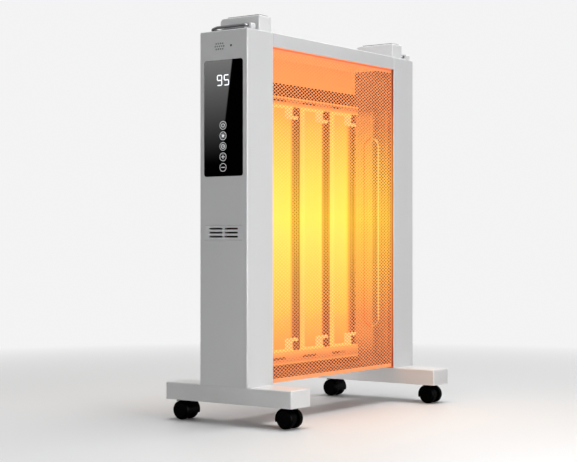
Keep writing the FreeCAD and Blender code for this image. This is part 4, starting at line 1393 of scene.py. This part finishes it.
@dataclass
class Dressing:
    """The finishes of the frame's own solids, by node."""

    board_pitch: float = 95.5 * MM

    def case_finishes(self) -> dict[str, Finish]:
        """The finishes of what the case holds between the columns.

        Returns:
            Finishes by node name, or by the end of a node name where it starts with an asterisk.
        """
        # Painted light: glow levels and base tints for the boards' light on the rails, posts and clips, and a dark
        # base with a weak glow on the tray
        bright_glow, mid_glow, faint_glow = (0.86, 0.42, 0.08), (0.72, 0.30, 0.06), (0.40, 0.11, 0.03)
        rail = (0.30, 0.14, 0.06)
        boards = {
            f"heating_board_{name}": GlowingBoard(f"hot_mica_board_{name}", step * self.board_pitch, fade)
            for name, step, fade in (("left", -1, 0.36), ("middle", 0, 0.25), ("right", 1, 0.66))
        }
        return {
            **boards,
            "*_end_plate": EndWall("end_wall_sheet"),
            "upper_rail": HeatedSheet("upper_rail_sheet", rail, (
                (0.0, bright_glow), (0.2, mid_glow), (0.4, faint_glow), (0.78, faint_glow), (0.84, bright_glow), (1.0, bright_glow)),
                low=553 * MM, high=567 * MM),
            "lower_rail": HeatedSheet("lower_rail_sheet", rail, (
                (0.0, mid_glow), (0.12, mid_glow), (0.2, faint_glow), (0.5, (0.55, 0.18, 0.05)), (0.72, mid_glow), (0.86, bright_glow),
                (1.0, bright_glow)), low=91 * MM, high=113 * MM),
            "board_posts": HeatedSheet("post_sheet", (0.20, 0.14, 0.06), peak((1.0, 0.70, 0.14), (1.0, 0.88, 0.19))),
            "bottom_tray": HeatedSheet("tray_sheet", (0.04, 0.012, 0.008), even((0.02, 0.004, 0.002))),
            "ceramic_clips": HeatedSheet("clip_ceramic", (0.30, 0.22, 0.13), even((1.0, 0.64, 0.19))),
            "element_harness": WovenSleeve("lead_sleeve_braid"),
            "end_plate_screws": BareMetal("heat_browned_steel", (0.10, 0.035, 0.015), roughness=0.5),
        }

    def finishes(self) -> dict[str, Finish]:
        """The finish of every solid that keeps its own shape.

        Returns:
            Finishes by node name, or by the end of a node name where it starts with an asterisk. The empty name has
            the finish of what isn't named.
        """
        block = MouldedPlastic("block_white_moulding", (0.93, 0.935, 0.94), roughness=0.40, tone_share=0.05)
        steel = BareMetal("plated_steel", (0.60, 0.60, 0.61), roughness=0.32)
        return {
            **self.case_finishes(),
            "*_column_shell": SatinPaint("satin_white_paint_and_painted_light", (0.80, 0.805, 0.815)),
            # Painted light on the rail's inside: an orange base and glow for the boards' light from below
            "top_rail": LidPaint("rail_white_paint_and_painted_light", (0.765, 0.77, 0.78), inner_colour=(0.62, 0.30, 0.14),
                                 glow=even((0.60, 0.22, 0.07))),
            "*_foot": MouldedPlastic("foot_white_moulding", grey(0.84), roughness=0.30, tone_share=0.04),
            "*_top_block": block,
            "*_loop_bracket": block,
            "*_block_pad": MouldedPlastic("pad_dark_rubber", (0.05, 0.05, 0.054), roughness=0.7, tone_share=0.3,
                                          shine=0.05),
            "*_rack_loop": BareMetal("plated_wire", (0.16, 0.16, 0.165), roughness=0.30),
            "vent_insert": MouldedPlastic("vent_white_moulding", (0.80, 0.805, 0.81), roughness=0.40, tone_share=0.05),
            "touch_glass": BackedGlass("black_backed_glass"),
            "remote_receiver": MouldedPlastic("receiver_black", grey(0.003), roughness=0.3, shine=0.05),
            # Painted shade: the power board is near black so that the vent slots read black
            "display_board": CircuitLaminate("green_laminate"),
            "power_board": CircuitLaminate("power_board_painted_shade", (0.002, 0.005, 0.003), (0.005, 0.012, 0.007),
                                           (0.03, 0.028, 0.024)),
            "touch_sensor_pads": BareMetal("sensor_spring_metal", (0.66, 0.56, 0.34), roughness=0.3),
            "*_hood": MouldedPlastic("castor_black_moulding", grey(0.0005), roughness=0.30, tone_share=0.2,
                                     shine=0.035),
            "*_wheels": MouldedPlastic("wheel_black_nylon", grey(0.0005), roughness=0.34, grain_scale=900.0,
                                       tone_share=0.25, shine=0.02),
            "*_stem": steel,
            "*_axle": steel,
            "*_screws": steel,
            "": MouldedPlastic("black_moulding", (0.012, 0.012, 0.013), roughness=0.42),
        }

    def dress(self) -> None:
        """Gives each solid its finish."""
        finishes = self.finishes()
        made = {finish: finish.material() for finish in dict.fromkeys(finishes.values())}
        for name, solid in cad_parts.items():
            fits = [key for key in finishes if key == name or (key.startswith("*") and name.endswith(key[1:]))]
            finish = finishes[max(fits, key=len, default="")]
            solid.data.materials.clear()
            solid.data.materials.append(made[finish])
            LOG.info("%s: %s", name, finish.name)


# Studio

def set_up(name: str, data: bpy.types.ID, place: Vector, direction: Vector) -> bpy.types.Object:
    """Adds a lamp or a camera to the scene.

    Args:
        name: the object's name.
        data: its lamp or camera data.
        place: where it stands.
        direction: where it looks.

    Returns:
        The new object.
    """
    thing = bpy.data.objects.new(name, data)
    thing.location = place
    thing.rotation_mode = "QUATERNION"
    thing.rotation_quaternion = direction.to_track_quat("-Z", "Y")
    bpy.context.scene.collection.objects.link(thing)
    return thing


@dataclass
class SoftLamp:
    """A rectangular lamp of white light that isn't seen itself, or only in glossy faces."""

    name: str
    place: Vector
    size: tuple[float, float]
    watts: float
    aim: Vector = Vector((0.0, 0.0, 0.36))
    spread: float = math.pi
    sheen_only: bool = False

    def build(self) -> None:
        """Adds the lamp, turned to the point that it lights."""
        data = bpy.data.lights.new(self.name, "AREA")
        data.shape = "RECTANGLE"
        data.size, data.size_y = self.size
        data.energy = self.watts
        data.spread = self.spread
        lamp = set_up(self.name, data, self.place, self.aim - self.place)
        lamp.visible_camera = False
        lamp.visible_diffuse = not self.sheen_only


@dataclass
class ReflectionCard:
    """A dark card with one slanted pale part, which the touch glass mirrors towards the camera.

    The slanted edge runs between two points, given by their Y and Z.
    """

    low: Vector = Vector((-2.0, 1.05, 0.30))
    high: Vector = Vector((-2.0, 1.75, 1.15))
    edge_low: tuple[float, float] = (1.3996, 0.524)
    edge_high: tuple[float, float] = (1.3434, 0.904)
    edge_blur: float = 0.004
    fade_low: float = 0.56
    fade_high: float = 0.92
    fade_power: float = 1.5
    strength: float = 4.0

    def build(self) -> None:
        """Hangs the card, which only glossy faces show."""
        Bench.clear()
        bpy.ops.mesh.primitive_plane_add(size=1.0, location=(self.low + self.high) / 2, rotation=(0, QUARTER, 0),
                                         scale=(self.high.z - self.low.z, self.high.y - self.low.y, 1.0))
        card = Bench.named("reflection_card")
        recipe = Recipe(bpy.data.materials.new("card_slant"))
        up = recipe.axis("Z")
        (y_low, z_low), (y_high, z_high) = self.edge_low, self.edge_high
        past = recipe.axis("Y") - ((up - z_low) * ((y_high - y_low) / (z_high - z_low)) + y_low)
        fade = up.ramp_between(self.fade_low, self.fade_high) ** self.fade_power
        light = recipe.blend(past.ramp_between(0.0, self.edge_blur) * fade, grey(0.0), grey(1.0))
        card.data.materials.append(recipe.end(recipe.surface({
            "Base Color": grey(0.0), "Roughness": 1.0, "Emission Color": light, "Emission Strength": self.strength,
            "Specular IOR Level": 0.0})))
        card.visible_camera = False
        card.visible_diffuse = False
        card.visible_shadow = False


@dataclass
class Studio:
    """Floor, lamps, reflection card and camera.

    Two keys light the front, a fill the control side and a large lamp the top. A small one lights the inner side of
    the far foot, and a sheen the edges.
    """

    floor_radius: float = 14.0
    floor_sides: int = 96
    floor_tones: tuple[float, float] = (0.80, 0.83)
    floor_bounce: float = 0.55
    floor_roughness: float = 0.55
    floor_gloss_span: float = 0.1
    floor_cloud: tuple[float, float] = (3.0, 3.0)
    haze_near: float = 0.15
    haze_full: float = 3.0
    backdrop: Colour = grey(0.90)
    world_light: float = 0.050
    camera_place: Vector = Vector((-2.10727, -1.46769, 0.31036))
    camera_aim: Vector = Vector((0.80995, 0.58651, 0.0))
    lens: float = 87.185
    sensor: float = 36.0
    shift_up: float = 0.0178
    lamps: tuple[SoftLamp, ...] = (
        SoftLamp("key_near", Vector((-0.44, -1.05, 0.46)), (0.4, 0.7), 3.95),
        SoftLamp("side_fill", Vector((-2.6, 0.8, 0.45)), (1.0, 1.2), 5.2, aim=Vector((-0.27, 0.0, 0.35))),
        SoftLamp("key_far", Vector((0.0, -3.4, 0.5)), (2.0, 2.0), 7.1),
        SoftLamp("top_soft", Vector((0.2, -0.3, 2.8)), (1.8, 1.8), 66.0),
        SoftLamp("foot_bounce", Vector((-0.19, 0.07, 0.052)), (0.12, 0.03), 0.022, aim=Vector((0.2, 0.08, 0.052)),
                 spread=math.radians(40)),
        SoftLamp("edge_sheen", Vector((-1.15, -2.6, 0.5)), (0.7, 2.4), 180.0, sheen_only=True),
    )

    def camera(self) -> None:
        """Sets the camera to the solved view."""
        data = bpy.data.cameras.new("view_camera")
        data.lens = self.lens
        data.sensor_fit = "HORIZONTAL"
        data.sensor_width = self.sensor
        data.shift_y = self.shift_up
        bpy.context.scene.camera = set_up("view_camera", data, self.camera_place, self.camera_aim)

    def floor(self) -> None:
        """Lays a plain pale floor that passes into the background, and that lights the heater less than it shows."""
        Bench.clear()
        bpy.ops.mesh.primitive_circle_add(vertices=self.floor_sides, radius=self.floor_radius, fill_type="NGON")
        floor = Bench.named("studio_floor")
        recipe = Recipe(bpy.data.materials.new("floor_pale"))
        cloud = recipe.noise(*self.floor_cloud)
        seen = recipe.node("ShaderNodeLightPath").outputs["Is Camera Ray"]
        pale = recipe.blend(cloud, *(grey(tone) for tone in self.floor_tones))
        near = recipe.surface({
            "Base Color": recipe.blend(seen, grey(self.floor_bounce), pale),
            "Roughness": cloud.about(self.floor_roughness, self.floor_gloss_span),
        })
        across, along = recipe.axis("X"), recipe.axis("Y")
        far = (across * across + along * along).ramp_between(self.haze_near, self.haze_full)
        haze = recipe.node("ShaderNodeEmission", inputs={"Color": self.backdrop, "Strength": 1.0})
        floor.data.materials.append(recipe.end(recipe.either(far * seen, near, haze)))

    def world(self) -> None:
        """Even light all round, and a pale background for what looks past the heater."""
        recipe = Recipe(bpy.data.worlds.new("studio_world"))
        path = recipe.node("ShaderNodeLightPath").outputs
        shown = Wire(recipe, path["Is Camera Ray"]).at_least(path["Is Transmission Ray"])
        shown = shown.at_least(path["Is Glossy Ray"])
        light = recipe.node("ShaderNodeBackground", inputs={"Color": grey(1.0), "Strength": self.world_light})
        back = recipe.node("ShaderNodeBackground", inputs={"Color": self.backdrop})
        bpy.context.scene.world = recipe.end(recipe.either(shown, light, back))

    def build(self) -> None:
        """Sets up the whole studio."""
        self.camera()
        self.floor()
        ReflectionCard().build()
        for lamp in self.lamps:
            lamp.build()
        self.world()
        bpy.context.scene.view_settings.view_transform = "Standard"


def main() -> None:
    """Dresses the solids, makes the fine pieces and sets up the studio."""
    logging.basicConfig(level=logging.INFO, format="%(name)s %(message)s")
    Dressing().dress()
    for assembly in (FrontGrille(), RearGrille(), SoundLiners(), TouchMarks(), Studio()):
        assembly.build()


if __name__ == "__main__":
    main()
